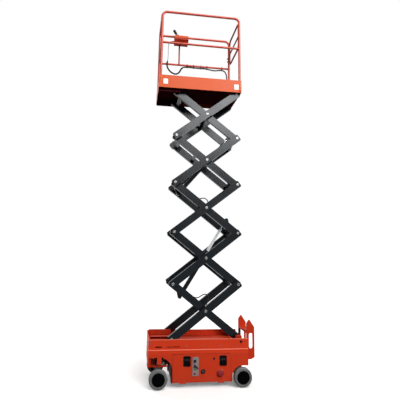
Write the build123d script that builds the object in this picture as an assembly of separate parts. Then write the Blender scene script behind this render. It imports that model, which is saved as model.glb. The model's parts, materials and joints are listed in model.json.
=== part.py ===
from build123d import *
import math
import os

# Self-propelled scissor lift, stored with its platform raised.
# Millimetres. +X points to the entry end, +Z up, -Y is the operator's ground side.
# The origin is on the floor, in the middle of the machine's length and width.

os.makedirs("parts", exist_ok=True)

# ---------------------------------------------------------------- driving sizes
WHEELBASE = 1053.0
FRONT_OVERHANG = 129.0         # front axle to the front wall
REAR_OVERHANG = 80.0           # rear axle to the rear wall
LADDER_GAP = 10.0              # rear wall to the ladder's plates
LADDER_DEPTH = 108.0
BODY_WIDTH = 652.0             # over the doors and the belt of the side rails
BODY_TOP_Z = 563.0             # top edge of the side rails
BODY_BOTTOM_Z = 62.0           # ground clearance under the side doors
TRAY_TOP_Z = 490.0             # floor of the well that the scissor folds into
SHEET = 4.0                    # folded sheet steel
PLATE = 8.0                    # welded plate

TYRE_RADIUS = 115.0
TYRE_WIDTH = 80.0
TRACK_WIDTH = 680.0            # between the tyres' middle planes
RIM_RADIUS = 80.0
HUB_RECESS = 9.0               # how far the hub's face lies inside the tyre
SPINDLE_RADIUS = 20.0
KINGPIN_Y = 266.0
KINGPIN_RADIUS = 18.0
STEER_PLATE_Z = 246.0          # underside of the steering plate above the tyres
STEER_PLATE_T = 14.0
STEER_ARM = 64.0               # kingpin to tie-rod eye
FRONT_ARCH_RADIUS = 150.0
REAR_ARCH_GAP = 14.0           # between the rear tyres and their arches

STAGES = 5
PIVOT_SETBACK = 117.4          # fixed pivot column ahead of the rear wall
ROLLER_SETBACK = 62.0          # stowed rollers behind the front wall
STOWED_ANGLE = 5.8             # arms above the floor line, platform down
LIFT_ANGLE = 37.72             # arms above the floor line, platform raised
ARM_DEPTH = 96.0
ARM_WIDTH = 50.0
ARM_WALL = 4.0
ARM_END = 36.0                 # tube past the end pins
ARM_TRIM = 12.0                # cut off the corners of its ends
BASE_PIVOT_Z = 558.0
OUTER_ARM_Y = 300.0            # outer faces of the outer arms
LANE_GAP = 10.0                # between an outer and an inner arm
PIN_RADIUS = 15.0
PIN_HEAD_RADIUS = 21.0
PIN_HEAD = 5.0
RUNNING = 0.05                 # radial clearance of a pin in its bore
FACE_GAP = 0.3                 # between faces that turn on each other
ROLLER_RADIUS = 23.0
ROLLER_WIDTH = 34.0
TRACK_CLEARANCE = 0.5
TRACK_WALL = 5.0
TRACK_PAST_ROLLER = 34.0       # track beyond the raised rollers' middle
CROSS_S = 46.0                 # cross member, along the arm
CROSS_N = 40.0                 # cross member, square to the arm
CROSS_END = 72.0               # cross members from the end pins
CROSS_LUG_END = 116.0          # the one that carries the lower cylinder's foot
CROSS_HIGH_END = 54.0          # the one that carries the upper cylinder's foot
CROSS_OFFSET = 168.0           # cross members of stages 2 and 4 past the middle pin

BARREL_RADIUS = 31.0
ROD_RADIUS = 19.0
CYL_PIN_RADIUS = 12.0
CYL_EYE_RADIUS = 27.0
CYL_EYE_WIDTH = 40.0
LUG_PLATE = 10.0
LUG_GAP = 3.0                  # between an eye and its lug plates
BARREL_FOOT = 74.0             # foot pin to the barrel's closed end
LOWER_FOOT_END = 209.0         # lower cylinder's foot pin below arm 1's upper pin
LOWER_FOOT_DROP = 70.0         # and under the arm's middle line
LOWER_HEAD = (195.0, 98.0)     # its rod pin, along and square to arm 3
LOWER_BARREL = 719.0
UPPER_FOOT_END = 124.0         # upper cylinder's foot pin below arm 3's upper pin
UPPER_FOOT_DROP = 44.0
UPPER_HEAD = (100.0, 10.0)     # its rod pin, on arm 5
UPPER_BARREL = 640.0
ROD_IN_BARREL = 96.0           # rod left inside the barrel when raised

DECK_SETBACK = 12.0            # platform's front edge behind the front wall
DECK_LENGTH = 1188.0
DECK_WIDTH = 700.0
DECK_SHEET_RISE = 66.0         # underside of the floor above the top pivots
DECK_SHEET = 4.0
SKIRT_DROP = 5.0               # the skirt's lower edge above the top pivots
TOE_BOARD_TOP = 186.0          # toe board, from its lower edge
TOP_RAIL_RISE = 1190.0         # top rail's middle above the skirt's lower edge
MID_RAIL_RISE = 700.0
RAIL_RADIUS = 17.5
RAIL_BEND = 70.0
MID_RAIL_RADIUS = 15.5
CONTROL_BOX_X = (-431.0, -211.0)
CONTROL_BOX_DEPTH = 150.0
GATE_TUBE = 13.0
GATE_BARS = (50.0, 260.0, 450.0)   # bars below the top rail

LADDER_Y = 200.0
LADDER_BOTTOM_Z = 285.0
LADDER_TOP_Z = 770.0
LADDER_SLOT = 190.0            # grip slot's height
LADDER_SLOT_WIDTH = 48.0
LADDER_SLOT_Z = 510.0          # its middle
STEP_HEIGHTS = (320.0, 600.0)  # lower edges of the steps
STEP_DEPTH = 24.0

DOOR_TO_FRONT_AXLE = 177.0     # door's front edge behind the front axle
DOOR_TO_REAR_AXLE = 150.0      # door's rear edge ahead of the rear axle
DOOR_TOP_Z = 388.0
DOOR_T = 20.0
LATCH_X = (-210.0, 247.0)      # paddle latches' middles
LATCH_Z = 307.0
LATCH_WIDTH = 92.0
LATCH_HEIGHT = 122.0
LATCH_PROUD = 3.0
LATCH_DEPTH = 12.0             # latch pan behind the door's face
LATCH_EDGE = 6.0               # flange around the pan
CONTROL_X = -103.0             # middle of the ground control strip
CONTROL_Z = 246.0
CONTROL_WIDTH = 78.0
CONTROL_HEIGHT = 219.0
KEY_SWITCH = (-8.0, 187.0)     # X and Z
CHARGE_LAMP = (130.0, 335.0)
STOP_BUTTON = (213.0, 170.0)
STOP_RADIUS = 40.0
HINGE_X = (-260.0, 220.0)
HINGE_Y = 318.0
HINGE_Z = 56.0
HINGE_RADIUS = 7.0
HINGE_PIN = 4.0
HINGE_HALF = 20.0              # half the length of a fixed hinge knuckle
BELT_TOP_Z = 437.0             # top of the belt that stands proud of the side rails
BELT_STEP = 6.0
RAIL_LIP = 10.0                # inward lip of the side rails, short of the pin heads
RAIL_SLOT_Z = 474.0            # slots and rivets of the side rails
RAIL_SLOTS = ((-566.0, 80.0, 15.0), (-385.0, 170.0, 9.0))   # X, length, height
RAIL_RIVETS = (-220.0, -11.0, 211.0, 421.0)
REAR_SKIRT_Z = 240.0
TIE_HOLE_Y = 250.0             # tie-down holes in the end walls
TIE_HOLE_Z = 400.0
TIE_HOLE_RADIUS = 16.0
TIE_ROD_SPACE = 52.0           # headroom for the tie rod over the steering plate

TIE_ROD_RADIUS = 8.0
TIE_ROD_EYE = 13.0
FRONT_ARCH_TOP_Z = 350.0
SPINE_Y = 180.0                # outer faces of the spine plates
TONGUE_HALF = 29.0             # half the width of the panel's tongue over the front wheel
TONGUE_X = 9.0                 # its middle behind the front axle
TONGUE_BOTTOM_Z = 273.0
BATTERY = (280.0, 520.0, 230.0)
BATTERY_BEHIND_DOOR = 34.0     # battery behind the door's front edge
TANK = (170.0, 300.0, 200.0)
TANK_AHEAD = 22.0              # tank ahead of the door's rear edge
MOTOR_RADIUS = 58.0
MOTOR_LENGTH = 140.0
CABLE_RADIUS = 4.5             # control box lead
HARNESS_RADIUS = 10.0          # sheathed harness under the platform's far mid rail
HOSE_RADIUS = 7.0
HOSE_Y = 90.0                  # on the near side, in the frame of an inner arm
HOSE_LEAD = 50.0               # straight run out of a hose fitting
GLAND_LENGTH = 16.0

# ---------------------------------------------------------------- derived places
OVERALL_LENGTH = FRONT_OVERHANG + WHEELBASE + REAR_OVERHANG + LADDER_GAP + LADDER_DEPTH
FRONT_X = -OVERALL_LENGTH / 2
REAR_X = OVERALL_LENGTH / 2
FRONT_AXLE_X = FRONT_X + FRONT_OVERHANG
REAR_AXLE_X = FRONT_AXLE_X + WHEELBASE
BODY_REAR_X = REAR_AXLE_X + REAR_OVERHANG
LADDER_FRONT_X = BODY_REAR_X + LADDER_GAP
DOOR_FRONT_X = FRONT_AXLE_X + DOOR_TO_FRONT_AXLE
DOOR_REAR_X = REAR_AXLE_X - DOOR_TO_REAR_AXLE
ARCH_EDGE_X = DOOR_FRONT_X - 7
PIVOT_X = BODY_REAR_X - PIVOT_SETBACK
ARM_LENGTH = (PIVOT_X - FRONT_X - ROLLER_SETBACK) / math.cos(math.radians(STOWED_ANGLE))
LOWER_FOOT = (ARM_LENGTH - LOWER_FOOT_END, -LOWER_FOOT_DROP)
UPPER_FOOT = (ARM_LENGTH - UPPER_FOOT_END, -UPPER_FOOT_DROP)
DECK_FRONT_X = FRONT_X + DECK_SETBACK
BODY_Y = BODY_WIDTH / 2
RAIL_Y = BODY_Y - BELT_STEP
WHEEL_Y = TRACK_WIDTH / 2
OUTER_IN = OUTER_ARM_Y - ARM_WIDTH
INNER_OUT = OUTER_IN - LANE_GAP
INNER_IN = INNER_OUT - ARM_WIDTH
COS = math.cos(math.radians(LIFT_ANGLE))
SIN = math.sin(math.radians(LIFT_ANGLE))
SPAN = ARM_LENGTH * COS
RISE = ARM_LENGTH * SIN
LEFT_X = PIVOT_X - SPAN
TOP_PIVOT_Z = BASE_PIVOT_Z + STAGES * RISE
SKIRT_Z = TOP_PIVOT_Z + SKIRT_DROP
DECK_Z = TOP_PIVOT_Z + DECK_SHEET_RISE
FLOOR_Z = DECK_Z + DECK_SHEET
DECK_REAR_X = DECK_FRONT_X + DECK_LENGTH
DECK_Y = DECK_WIDTH / 2
TOP_RAIL_Z = SKIRT_Z + TOP_RAIL_RISE
MID_RAIL_Z = SKIRT_Z + MID_RAIL_RISE
TOE_TOP_Z = SKIRT_Z + TOE_BOARD_TOP


# ---------------------------------------------------------------- small helpers
def block(x0, x1, y0, y1, z0, z1):
    """A box between two corners."""
    middle = ((x0 + x1) / 2, (y0 + y1) / 2, (z0 + z1) / 2)
    return Pos(*middle) * Box(x1 - x0, y1 - y0, z1 - z0)


def rod_y(x, z, radius, y0, y1):
    """A round bar along Y."""
    return Pos(x, (y0 + y1) / 2, z) * Rot(90, 0, 0) * Cylinder(radius, abs(y1 - y0))


def rod_z(x, y, radius, z0, z1):
    """A round bar along Z."""
    return Pos(x, y, (z0 + z1) / 2) * Cylinder(radius, z1 - z0)


def rod_x(y, z, radius, x0, x1):
    """A round bar along X."""
    return Pos((x0 + x1) / 2, y, z) * Rot(0, 90, 0) * Cylinder(radius, x1 - x0)


def slab_y(sketch, y0, y1):
    """A sketch drawn in X and Z, as a plate between two Y planes."""
    return extrude(Plane.XZ.offset(-y1) * sketch, y1 - y0)


def slab_x(sketch, x0, x1):
    """A sketch drawn in Y and Z, as a bar between two X planes."""
    return extrude(Plane.YZ.offset(x0) * sketch, x1 - x0)


def outline(*points):
    """A closed straight-sided face."""
    return make_face(Polyline(*points, close=True))


def both_sides(solid):
    """A solid and its mirror image across the machine's middle plane."""
    return [solid, mirror(solid, Plane.XZ)]


def save(name, solids):
    """Write one node."""
    shape = solids if isinstance(solids, (Solid, Part)) else Compound(children=list(solids))
    shape.label = name
    export_step(shape, f"parts/{name}.step")


# ---------------------------------------------------------------- scissor arms
def arm_frame(stage, falling):
    """Location of an arm: its lower pin at the origin, the arm along +X, +Z above it."""
    z = BASE_PIVOT_Z + (stage - 1) * RISE
    if falling:
        return Pos(PIVOT_X, 0, z) * Rot(0, 0, 180) * Rot(0, -LIFT_ANGLE, 0)
    return Pos(LEFT_X, 0, z) * Rot(0, -LIFT_ANGLE, 0)


def arm_bar(y0, y1):
    """One rectangular tube with trimmed ends, closed round its three pin bosses."""
    low, high, half = -ARM_END, ARM_LENGTH + ARM_END, ARM_DEPTH / 2
    trim = ARM_TRIM
    bar = slab_y(outline((low, half - trim), (low + trim, half), (high - trim, half), (high, half - trim),
                         (high, trim - half), (high - trim, -half), (low + trim, -half),
                         (low, trim - half)), y0, y1)
    boss = ARM_DEPTH * 0.6
    for start in (boss, ARM_LENGTH / 2 + boss):
        end = start + ARM_LENGTH / 2 - 2 * boss
        bar -= block(start, end, y0 + ARM_WALL, y1 - ARM_WALL, ARM_WALL - half, half - ARM_WALL)
    return bar


def pin_places():
    """Pin positions along an arm."""
    return (0.0, ARM_LENGTH / 2, ARM_LENGTH)


def inner_arms(stage):
    """The two inner arms of a stage, bored for their pins."""
    bar = arm_bar(INNER_IN, INNER_OUT)
    for s in pin_places():
        if stage == STAGES and s == ARM_LENGTH:
            bar += rod_y(s, 0, PIN_RADIUS, INNER_OUT, OUTER_IN + FACE_GAP + ROLLER_WIDTH)
            bar += rod_y(s, 0, ROLLER_RADIUS, OUTER_IN + FACE_GAP, OUTER_IN + FACE_GAP + ROLLER_WIDTH)
        else:
            bar -= rod_y(s, 0, PIN_RADIUS + RUNNING, INNER_IN, INNER_OUT)
    place = arm_frame(stage, True)
    return [place * solid for solid in both_sides(bar)]


def outer_arms(stage):
    """The two outer arms of a stage, each with its three inward pins."""
    bar = arm_bar(OUTER_IN, OUTER_ARM_Y)
    for s in pin_places():
        bar += rod_y(s, 0, PIN_HEAD_RADIUS, OUTER_ARM_Y, OUTER_ARM_Y + PIN_HEAD)
        if stage == 1 and s == 0:
            inner_face = INNER_OUT - FACE_GAP
            bar += rod_y(s, 0, PIN_RADIUS, inner_face, OUTER_IN)
            bar += rod_y(s, 0, ROLLER_RADIUS, inner_face - ROLLER_WIDTH, inner_face)
        else:
            bar += rod_y(s, 0, PIN_RADIUS, INNER_IN + FACE_GAP, OUTER_IN)
            bar += rod_y(s, 0, PIN_HEAD_RADIUS, INNER_OUT + FACE_GAP, OUTER_IN)
    place = arm_frame(stage, False)
    return [place * solid for solid in both_sides(bar)]


def lug_plates(member_s, member_n, pin):
    """Two plates from a cross member to a cylinder's pin."""
    s, n = pin
    inner = CYL_EYE_WIDTH / 2 + LUG_GAP
    half = CROSS_S / 2 - 4
    direction = math.atan2(n - member_n, s - member_s)
    dx, dz = math.cos(direction), math.sin(direction)
    ring = CYL_EYE_RADIUS - 1
    shape = outline((member_s + dz * half, member_n - dx * half), (s + dz * ring, n - dx * ring),
                    (s - dz * ring, n + dx * ring), (member_s - dz * half, member_n + dx * half))
    shape += Pos(s, n) * Circle(ring)
    plates = []
    for side in (1, -1):
        y0, y1 = sorted((side * inner, side * (inner + LUG_PLATE)))
        plate = slab_y(shape, y0, y1)
        plate += rod_y(s, n, CYL_PIN_RADIUS + 4, side * (inner + LUG_PLATE), side * (inner + LUG_PLATE + 5))
        plates.append(plate)
    return plates


def cross_members(stage):
    """Cross members between the inner arms, with the lugs that carry the lift cylinders."""
    middle, end = ARM_LENGTH / 2, ARM_LENGTH - CROSS_END
    members = {1: (CROSS_END, middle, ARM_LENGTH - CROSS_LUG_END), 2: (CROSS_END, middle + CROSS_OFFSET, end),
               3: (CROSS_END, middle, ARM_LENGTH - CROSS_HIGH_END), 4: (CROSS_END, middle + CROSS_OFFSET, end),
               5: (0.0, middle, end)}[stage]
    glands = {1: hose_ends(LOWER_HOSE), 3: hose_ends(UPPER_HOSE)}.get(stage, [])
    lugs = {1: [(2, LOWER_FOOT, True)], 3: [(0, LOWER_HEAD, False), (2, UPPER_FOOT, True)],
            5: [(0, UPPER_HEAD, False)]}.get(stage, [])
    solids = []
    for index, s in enumerate(members):
        member = block(s - CROSS_S / 2, s + CROSS_S / 2, -INNER_IN, INNER_IN, -CROSS_N / 2, CROSS_N / 2)
        for lug_index, pin, foot in lugs:
            if lug_index != index:
                continue
            for plate in lug_plates(s, 0.0, pin):
                member += plate
            if foot:
                reach = CYL_EYE_WIDTH / 2 + LUG_GAP
                member += rod_y(pin[0], pin[1], CYL_PIN_RADIUS, -reach, reach)
        wall = ARM_WALL
        member -= block(s - CROSS_S / 2 + wall, s + CROSS_S / 2 - wall, -INNER_IN, INNER_IN,
                        wall - CROSS_N / 2, CROSS_N / 2 - wall)
        for gland in glands[index - 1:index]:
            member += gland
        solids.append(member)
    place = arm_frame(stage, True)
    return [place * solid for solid in solids]


def arm_point(stage, pin):
    """X and Z of a point given along and square to a stage's inner arm."""
    s, n = pin
    x = PIVOT_X - s * COS + n * SIN
    z = BASE_PIVOT_Z + (stage - 1) * RISE + s * SIN + n * COS
    return x, z


def cylinder_frame(foot, head):
    """Location with the foot pin at the origin and the rod pin along +X, and their distance."""
    dx, dz = head[0] - foot[0], head[1] - foot[1]
    place = Pos(foot[0], 0, foot[1]) * Rot(0, -math.degrees(math.atan2(dz, dx)), 0)
    return place, math.hypot(dx, dz)


def lift_barrel(place, length):
    """Cylinder barrel: foot eye, tube, end rings and port block."""
    half = CYL_EYE_WIDTH / 2
    foot_end = BARREL_FOOT
    barrel = rod_y(0, 0, CYL_EYE_RADIUS, -half, half) + rod_x(0, 0, half - 1, 0, foot_end + 5)
    barrel += rod_x(0, 0, BARREL_RADIUS - 2, foot_end, length)
    barrel += rod_x(0, 0, BARREL_RADIUS, foot_end, foot_end + 22)
    barrel += rod_x(0, 0, BARREL_RADIUS, length - 45, length)
    barrel -= rod_y(0, 0, CYL_PIN_RADIUS + RUNNING, -half, half)
    barrel -= rod_x(0, 0, ROD_RADIUS + RUNNING, foot_end + 25, length)
    return place * barrel


def lift_rod(place, length, barrel_length):
    """Chromed rod with its head eye."""
    half = CYL_EYE_WIDTH / 2
    rod = rod_x(0, 0, ROD_RADIUS, barrel_length - ROD_IN_BARREL, length)
    rod += rod_y(length, 0, CYL_EYE_RADIUS, -half, half)
    rod -= rod_y(length, 0, CYL_PIN_RADIUS + RUNNING, -half, half)
    return place * rod


def cord(name, points, radius):
    """Flexible tube through a list of points, each corner as round as its runs allow."""
    radii = []
    for a, b, c in zip(points, points[1:], points[2:]):
        before, after = Vector(*b) - Vector(*a), Vector(*c) - Vector(*b)
        half_turn = math.radians(before.get_angle(after)) / 2
        radii.append(0.45 * min(before.length, after.length) / math.tan(half_turn))
    print(name, "corner radii", [round(value) for value in radii])
    path = FilletPolyline(*points, radius=radii)
    direction = Vector(*points[1]) - Vector(*points[0])
    return sweep(Plane(origin=points[0], z_dir=direction) * Circle(radius), path)


def hose_route(end_setback, *between):
    """Route along an arm from its middle cross member to its last one: along and square to it."""
    s0, n0 = ARM_LENGTH / 2, CROSS_N / 2 + GLAND_LENGTH
    s1 = ARM_LENGTH - end_setback - CROSS_S / 2 - GLAND_LENGTH
    return [(s0, n0), (s0, n0 + HOSE_LEAD), *between, (s1 - HOSE_LEAD, 0.0), (s1, 0.0)]


def hose_ends(route):
    """The fittings that hold the two ends of a hose."""
    (s0, n0), (s1, n1) = route[0], route[-1]
    radius = HOSE_RADIUS + 4
    return [rod_z(s0, HOSE_Y, radius, n0 - GLAND_LENGTH, n0), rod_x(HOSE_Y, n1, radius, s1, s1 + GLAND_LENGTH)]


def lift_hose(name, stage, route):
    """Hydraulic hose that rises in an arch over an inner arm."""
    hose = cord(name, [(s, HOSE_Y, n) for s, n in route], HOSE_RADIUS)
    return arm_frame(stage, True) * hose


# ---------------------------------------------------------------- chassis
def cross_plate(x0, thickness, bottom, top):
    """Plate across the base, as wide as the skins of the side rails leave room for."""
    low_y, high_y = BODY_Y - SHEET, RAIL_Y - SHEET
    z0, z1 = BELT_TOP_Z - SHEET / 2, BELT_TOP_Z + BELT_STEP - SHEET / 2
    half = [(low_y, bottom), (low_y, z0), (high_y, z1), (high_y, top)]
    mirrored = [(-y, z) for y, z in reversed(half)]
    return slab_x(outline(*half, *mirrored), x0, x0 + thickness)


def bulkheads():
    """Plates behind the front wheels and ahead of the rear ones."""
    top = TRAY_TOP_Z - PLATE
    front = cross_plate(ARCH_EDGE_X, SHEET, BODY_BOTTOM_Z, top)
    return [front, cross_plate(DOOR_REAR_X + SHEET, SHEET, BODY_BOTTOM_Z, top)]


def chassis_frame():
    """Well floor, end walls, bulkheads, bottom plate and the fixed knuckles of the door hinges."""
    floor_y = RAIL_Y - SHEET
    inside_front, inside_rear = FRONT_X + PLATE, BODY_REAR_X - PLATE
    under_floor = TRAY_TOP_Z - PLATE
    front_wall = cross_plate(FRONT_X, PLATE, STEER_PLATE_Z, BODY_TOP_Z - SHEET)
    rear_wall = cross_plate(inside_rear, PLATE, REAR_SKIRT_Z, under_floor)
    for side in (1, -1):
        front_wall -= rod_x(side * TIE_HOLE_Y, TIE_HOLE_Z, TIE_HOLE_RADIUS, FRONT_X, inside_front)
        rear_wall -= rod_x(side * TIE_HOLE_Y, TIE_HOLE_Z, TIE_HOLE_RADIUS, inside_rear, BODY_REAR_X)
    floor = block(inside_front, BODY_REAR_X, -floor_y, floor_y, under_floor, TRAY_TOP_Z)
    half_width = BODY_Y - SHEET - DOOR_T
    bottom = block(ARCH_EDGE_X + SHEET, DOOR_REAR_X + SHEET, -half_width, half_width, BODY_BOTTOM_Z,
                   BODY_BOTTOM_Z + PLATE)
    knuckles = []
    for x in HINGE_X:
        x0, x1 = x - HINGE_HALF, x + HINGE_HALF
        knuckle = block(x0, x1, -HINGE_Y, -half_width + 12, HINGE_Z - 6, BODY_BOTTOM_Z)
        knuckle += rod_x(-HINGE_Y, HINGE_Z, HINGE_RADIUS, x0, x1)
        knuckle -= rod_x(-HINGE_Y, HINGE_Z, HINGE_PIN + RUNNING, x0, x1)
        knuckles += both_sides(knuckle)
    return [floor, front_wall, rear_wall, bottom] + bulkheads() + knuckles


def spine_plates():
    """Two long plates under the well floor, with legs down to the axles."""
    x0, x1 = FRONT_X + PLATE, BODY_REAR_X - PLATE
    plate_top = STEER_PLATE_Z + STEER_PLATE_T
    lower, top = plate_top + TIE_ROD_SPACE, TRAY_TOP_Z - PLATE
    rear_leg = DOOR_REAR_X + 2 * SHEET
    shape = outline((x0, lower), (rear_leg, lower), (rear_leg, STEER_PLATE_Z), (x1, STEER_PLATE_Z),
                    (x1, top), (x0, top))
    spine = slab_y(shape, SPINE_Y - PLATE, SPINE_Y)
    for plate in bulkheads():
        spine -= plate
    front_leg = block(x0, x0 + 60, SPINE_Y - PLATE, SPINE_Y, plate_top, lower)
    return [solid for side in both_sides(spine) for solid in side.solids()] + both_sides(front_leg)


def wheel_housings():
    """Curved liners of the front arches, from the side panels in to the spine."""
    radius = FRONT_ARCH_RADIUS
    x, z = ARCH_EDGE_X - radius, FRONT_ARCH_TOP_Z - radius
    ring = rod_y(x, z, radius + SHEET, SPINE_Y + LANE_GAP, BODY_Y - SHEET)
    ring -= rod_y(x, z, radius, SPINE_Y + LANE_GAP, BODY_Y - SHEET)
    ring &= block(x, x + 2 * radius, 0, BODY_Y, z, z + 2 * radius)
    for plate in bulkheads():
        ring -= plate
    liner = max(ring.solids(), key=lambda solid: solid.volume)
    return both_sides(liner)


def side_rails():
    """Folded upper side rails with a proud belt, slots and rivets."""
    low, high, t, lip = DOOR_TOP_Z + SHEET, BODY_TOP_Z, SHEET, RAIL_LIP
    out, inn, belt, step = -BODY_Y, -RAIL_Y, BELT_TOP_Z, BELT_STEP
    profile = outline((out, low), (out, belt), (inn, belt + step), (inn, high), (inn + lip, high),
                      (inn + lip, high - t), (inn + t, high - t), (inn + t, belt + step - t / 2),
                      (out + t, belt - t / 2), (out + t, low))
    rail = slab_x(profile, FRONT_X, BODY_REAR_X)
    for x, length, height in RAIL_SLOTS:
        rail -= slab_y(Pos(x, RAIL_SLOT_Z) * SlotOverall(length, height), inn, inn + t)
    for x in RAIL_RIVETS:
        rail += rod_y(x, RAIL_SLOT_Z, 6, inn - 2.5, inn)
    return both_sides(rail)


def arch_panels():
    """Fixed lower skins beside the wheels, cut by the front and rear arches."""
    y0, y1 = -BODY_Y, -BODY_Y + SHEET
    top = DOOR_TOP_Z + SHEET
    radius, arch_top, edge = FRONT_ARCH_RADIUS, FRONT_ARCH_TOP_Z, ARCH_EDGE_X
    front = block(FRONT_X, DOOR_FRONT_X - 2, y0, y1, BODY_BOTTOM_Z, top)
    front -= block(FRONT_X, edge - radius, y0, y1, BODY_BOTTOM_Z, arch_top)
    front -= block(FRONT_X, edge, y0, y1, BODY_BOTTOM_Z, arch_top - radius)
    front -= rod_y(edge - radius, arch_top - radius, radius, y0, y1)
    x, half, relief = FRONT_AXLE_X + TONGUE_X, TONGUE_HALF, 9.0
    for side in (1, -1):
        front -= rod_y(x + side * (half + relief), arch_top, relief, y0, y1)
    front += block(x - half, x + half, y0, y1, TONGUE_BOTTOM_Z + half, arch_top)
    front += rod_y(x, TONGUE_BOTTOM_Z + half, half, y0, y1)
    rear_arch = TYRE_RADIUS + REAR_ARCH_GAP
    rear = block(DOOR_REAR_X + 2, BODY_REAR_X, y0, y1, BODY_BOTTOM_Z, top)
    rear -= rod_y(REAR_AXLE_X, TYRE_RADIUS, rear_arch, y0, y1)
    rear -= block(REAR_AXLE_X, BODY_REAR_X + 11, y0, y1, 0, TYRE_RADIUS + rear_arch)
    rear -= block(REAR_AXLE_X - rear_arch, REAR_AXLE_X, y0, y1, 0, TYRE_RADIUS)
    return both_sides(front) + both_sides(rear)


def steering_plate():
    """Cross plate over the front wheels that the kingpins hang from, with rubber steering stops."""
    half_length, half_width, stop = 105.0, BODY_Y - SHEET - 4, 27.0
    x0 = FRONT_X + PLATE
    z0, z1 = STEER_PLATE_Z, STEER_PLATE_Z + STEER_PLATE_T
    plate = block(x0, FRONT_AXLE_X + half_length, -half_width, half_width, z0, z1)
    plate += block(FRONT_AXLE_X, ARCH_EDGE_X, -SPINE_Y - LANE_GAP, SPINE_Y + LANE_GAP, z0, z1)
    for side in (1, -1):
        plate -= rod_z(FRONT_AXLE_X, side * KINGPIN_Y, KINGPIN_RADIUS + RUNNING, z0, z1)
    stops = block(x0, x0 + stop, -half_width, 54 - half_width, z1, FRONT_ARCH_TOP_Z - 5)
    return [plate] + both_sides(stops)


def pivot_brackets():
    """Fixed scissor pivots on the well floor, with their inward pins."""
    top = BASE_PIVOT_Z + 36
    shape = outline((PIVOT_X - 60, TRAY_TOP_Z), (PIVOT_X + 60, TRAY_TOP_Z), (PIVOT_X + 36, top),
                    (PIVOT_X - 36, top))
    bracket = slab_y(shape, OUTER_IN, OUTER_ARM_Y)
    bracket += rod_y(PIVOT_X, BASE_PIVOT_Z, PIN_HEAD_RADIUS, INNER_OUT + FACE_GAP, OUTER_IN)
    bracket += rod_y(PIVOT_X, BASE_PIVOT_Z, PIN_RADIUS, INNER_IN + FACE_GAP, OUTER_IN)
    return both_sides(bracket)


def roller_track(x0, x1, z, web_y, lip_y, foot_z=None):
    """Channel for a roller: web at web_y, flanges out to lip_y."""
    half = ROLLER_RADIUS + TRACK_CLEARANCE
    out = 1 if lip_y > web_y else -1
    web0, web1 = sorted((web_y, web_y - out * TRACK_WALL))
    y0, y1 = min(web0, lip_y), max(web1, lip_y)
    track = block(x0, x1, web0, web1, z - half - TRACK_WALL, z + half + TRACK_WALL)
    track += block(x0, x1, y0, y1, z + half, z + half + TRACK_WALL)
    track += block(x0, x1, y0, y1, z - half - TRACK_WALL, z - half)
    if foot_z is not None:
        track += block(x0, x1, y0 + 8, y1 - 8, foot_z, z - half - TRACK_WALL)
    return track


def base_tracks():
    """Roller channels on the well floor."""
    inner = INNER_OUT - FACE_GAP - ROLLER_WIDTH - 3
    track = roller_track(FRONT_X + 20, LEFT_X + TRACK_PAST_ROLLER, BASE_PIVOT_Z, inner, INNER_OUT + 4,
                         TRAY_TOP_Z)
    return both_sides(track)


def side_door():
    """Bottom-hinged side door, a folded tray of sheet, with its hinge pins and latch cut-outs."""
    y0, y1 = -BODY_Y, -BODY_Y + DOOR_T
    bottom = BODY_BOTTOM_Z + 2
    door = block(DOOR_FRONT_X, DOOR_REAR_X, y0, y1, bottom, DOOR_TOP_Z)
    door -= block(DOOR_FRONT_X + SHEET, DOOR_REAR_X - SHEET, y0 + SHEET, y1, bottom + SHEET, DOOR_TOP_Z - SHEET)
    for x in LATCH_X:
        door -= slab_y(latch_shape(x, LATCH_EDGE - FACE_GAP), y0, y0 + SHEET)
    for x in HINGE_X:
        for end in (-1, 1):
            x0, x1 = sorted((x + end * (HINGE_HALF + FACE_GAP), x + end * (2 * HINGE_HALF)))
            door += block(x0, x1, -HINGE_Y - 5, -HINGE_Y + 5, HINGE_Z, bottom)
            door += rod_x(-HINGE_Y, HINGE_Z, HINGE_RADIUS, x0, x1)
        door += rod_x(-HINGE_Y, HINGE_Z, HINGE_PIN, x - HINGE_HALF - 2, x + HINGE_HALF + 2)
    return door


def latch_shape(x, inset):
    """Rounded outline of a paddle latch, drawn in from its flange by inset."""
    corner = 16.0 - inset
    return Pos(x, LATCH_Z) * RectangleRounded(LATCH_WIDTH - 2 * inset, LATCH_HEIGHT - 2 * inset, corner)


def paddle_latch(x):
    """Paddle latch: flange, recessed pan and the paddle in it."""
    face = -BODY_Y
    wall = 3.0
    latch = slab_y(latch_shape(x, 0), face - LATCH_PROUD, face)
    latch += slab_y(latch_shape(x, LATCH_EDGE), face, face + LATCH_DEPTH)
    latch -= slab_y(latch_shape(x, LATCH_EDGE + wall), face - LATCH_PROUD, face + LATCH_DEPTH - wall)
    back, front = face + LATCH_DEPTH - wall, face - LATCH_PROUD / 2
    z, half = LATCH_Z - 8, LATCH_WIDTH / 2 - LATCH_EDGE - wall - 4
    paddle = outline((back, z - 30), (front, z - 22), (front - 2, z + 14), (back, z + 34))
    return latch + slab_x(paddle, x - half, x + half)


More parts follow.
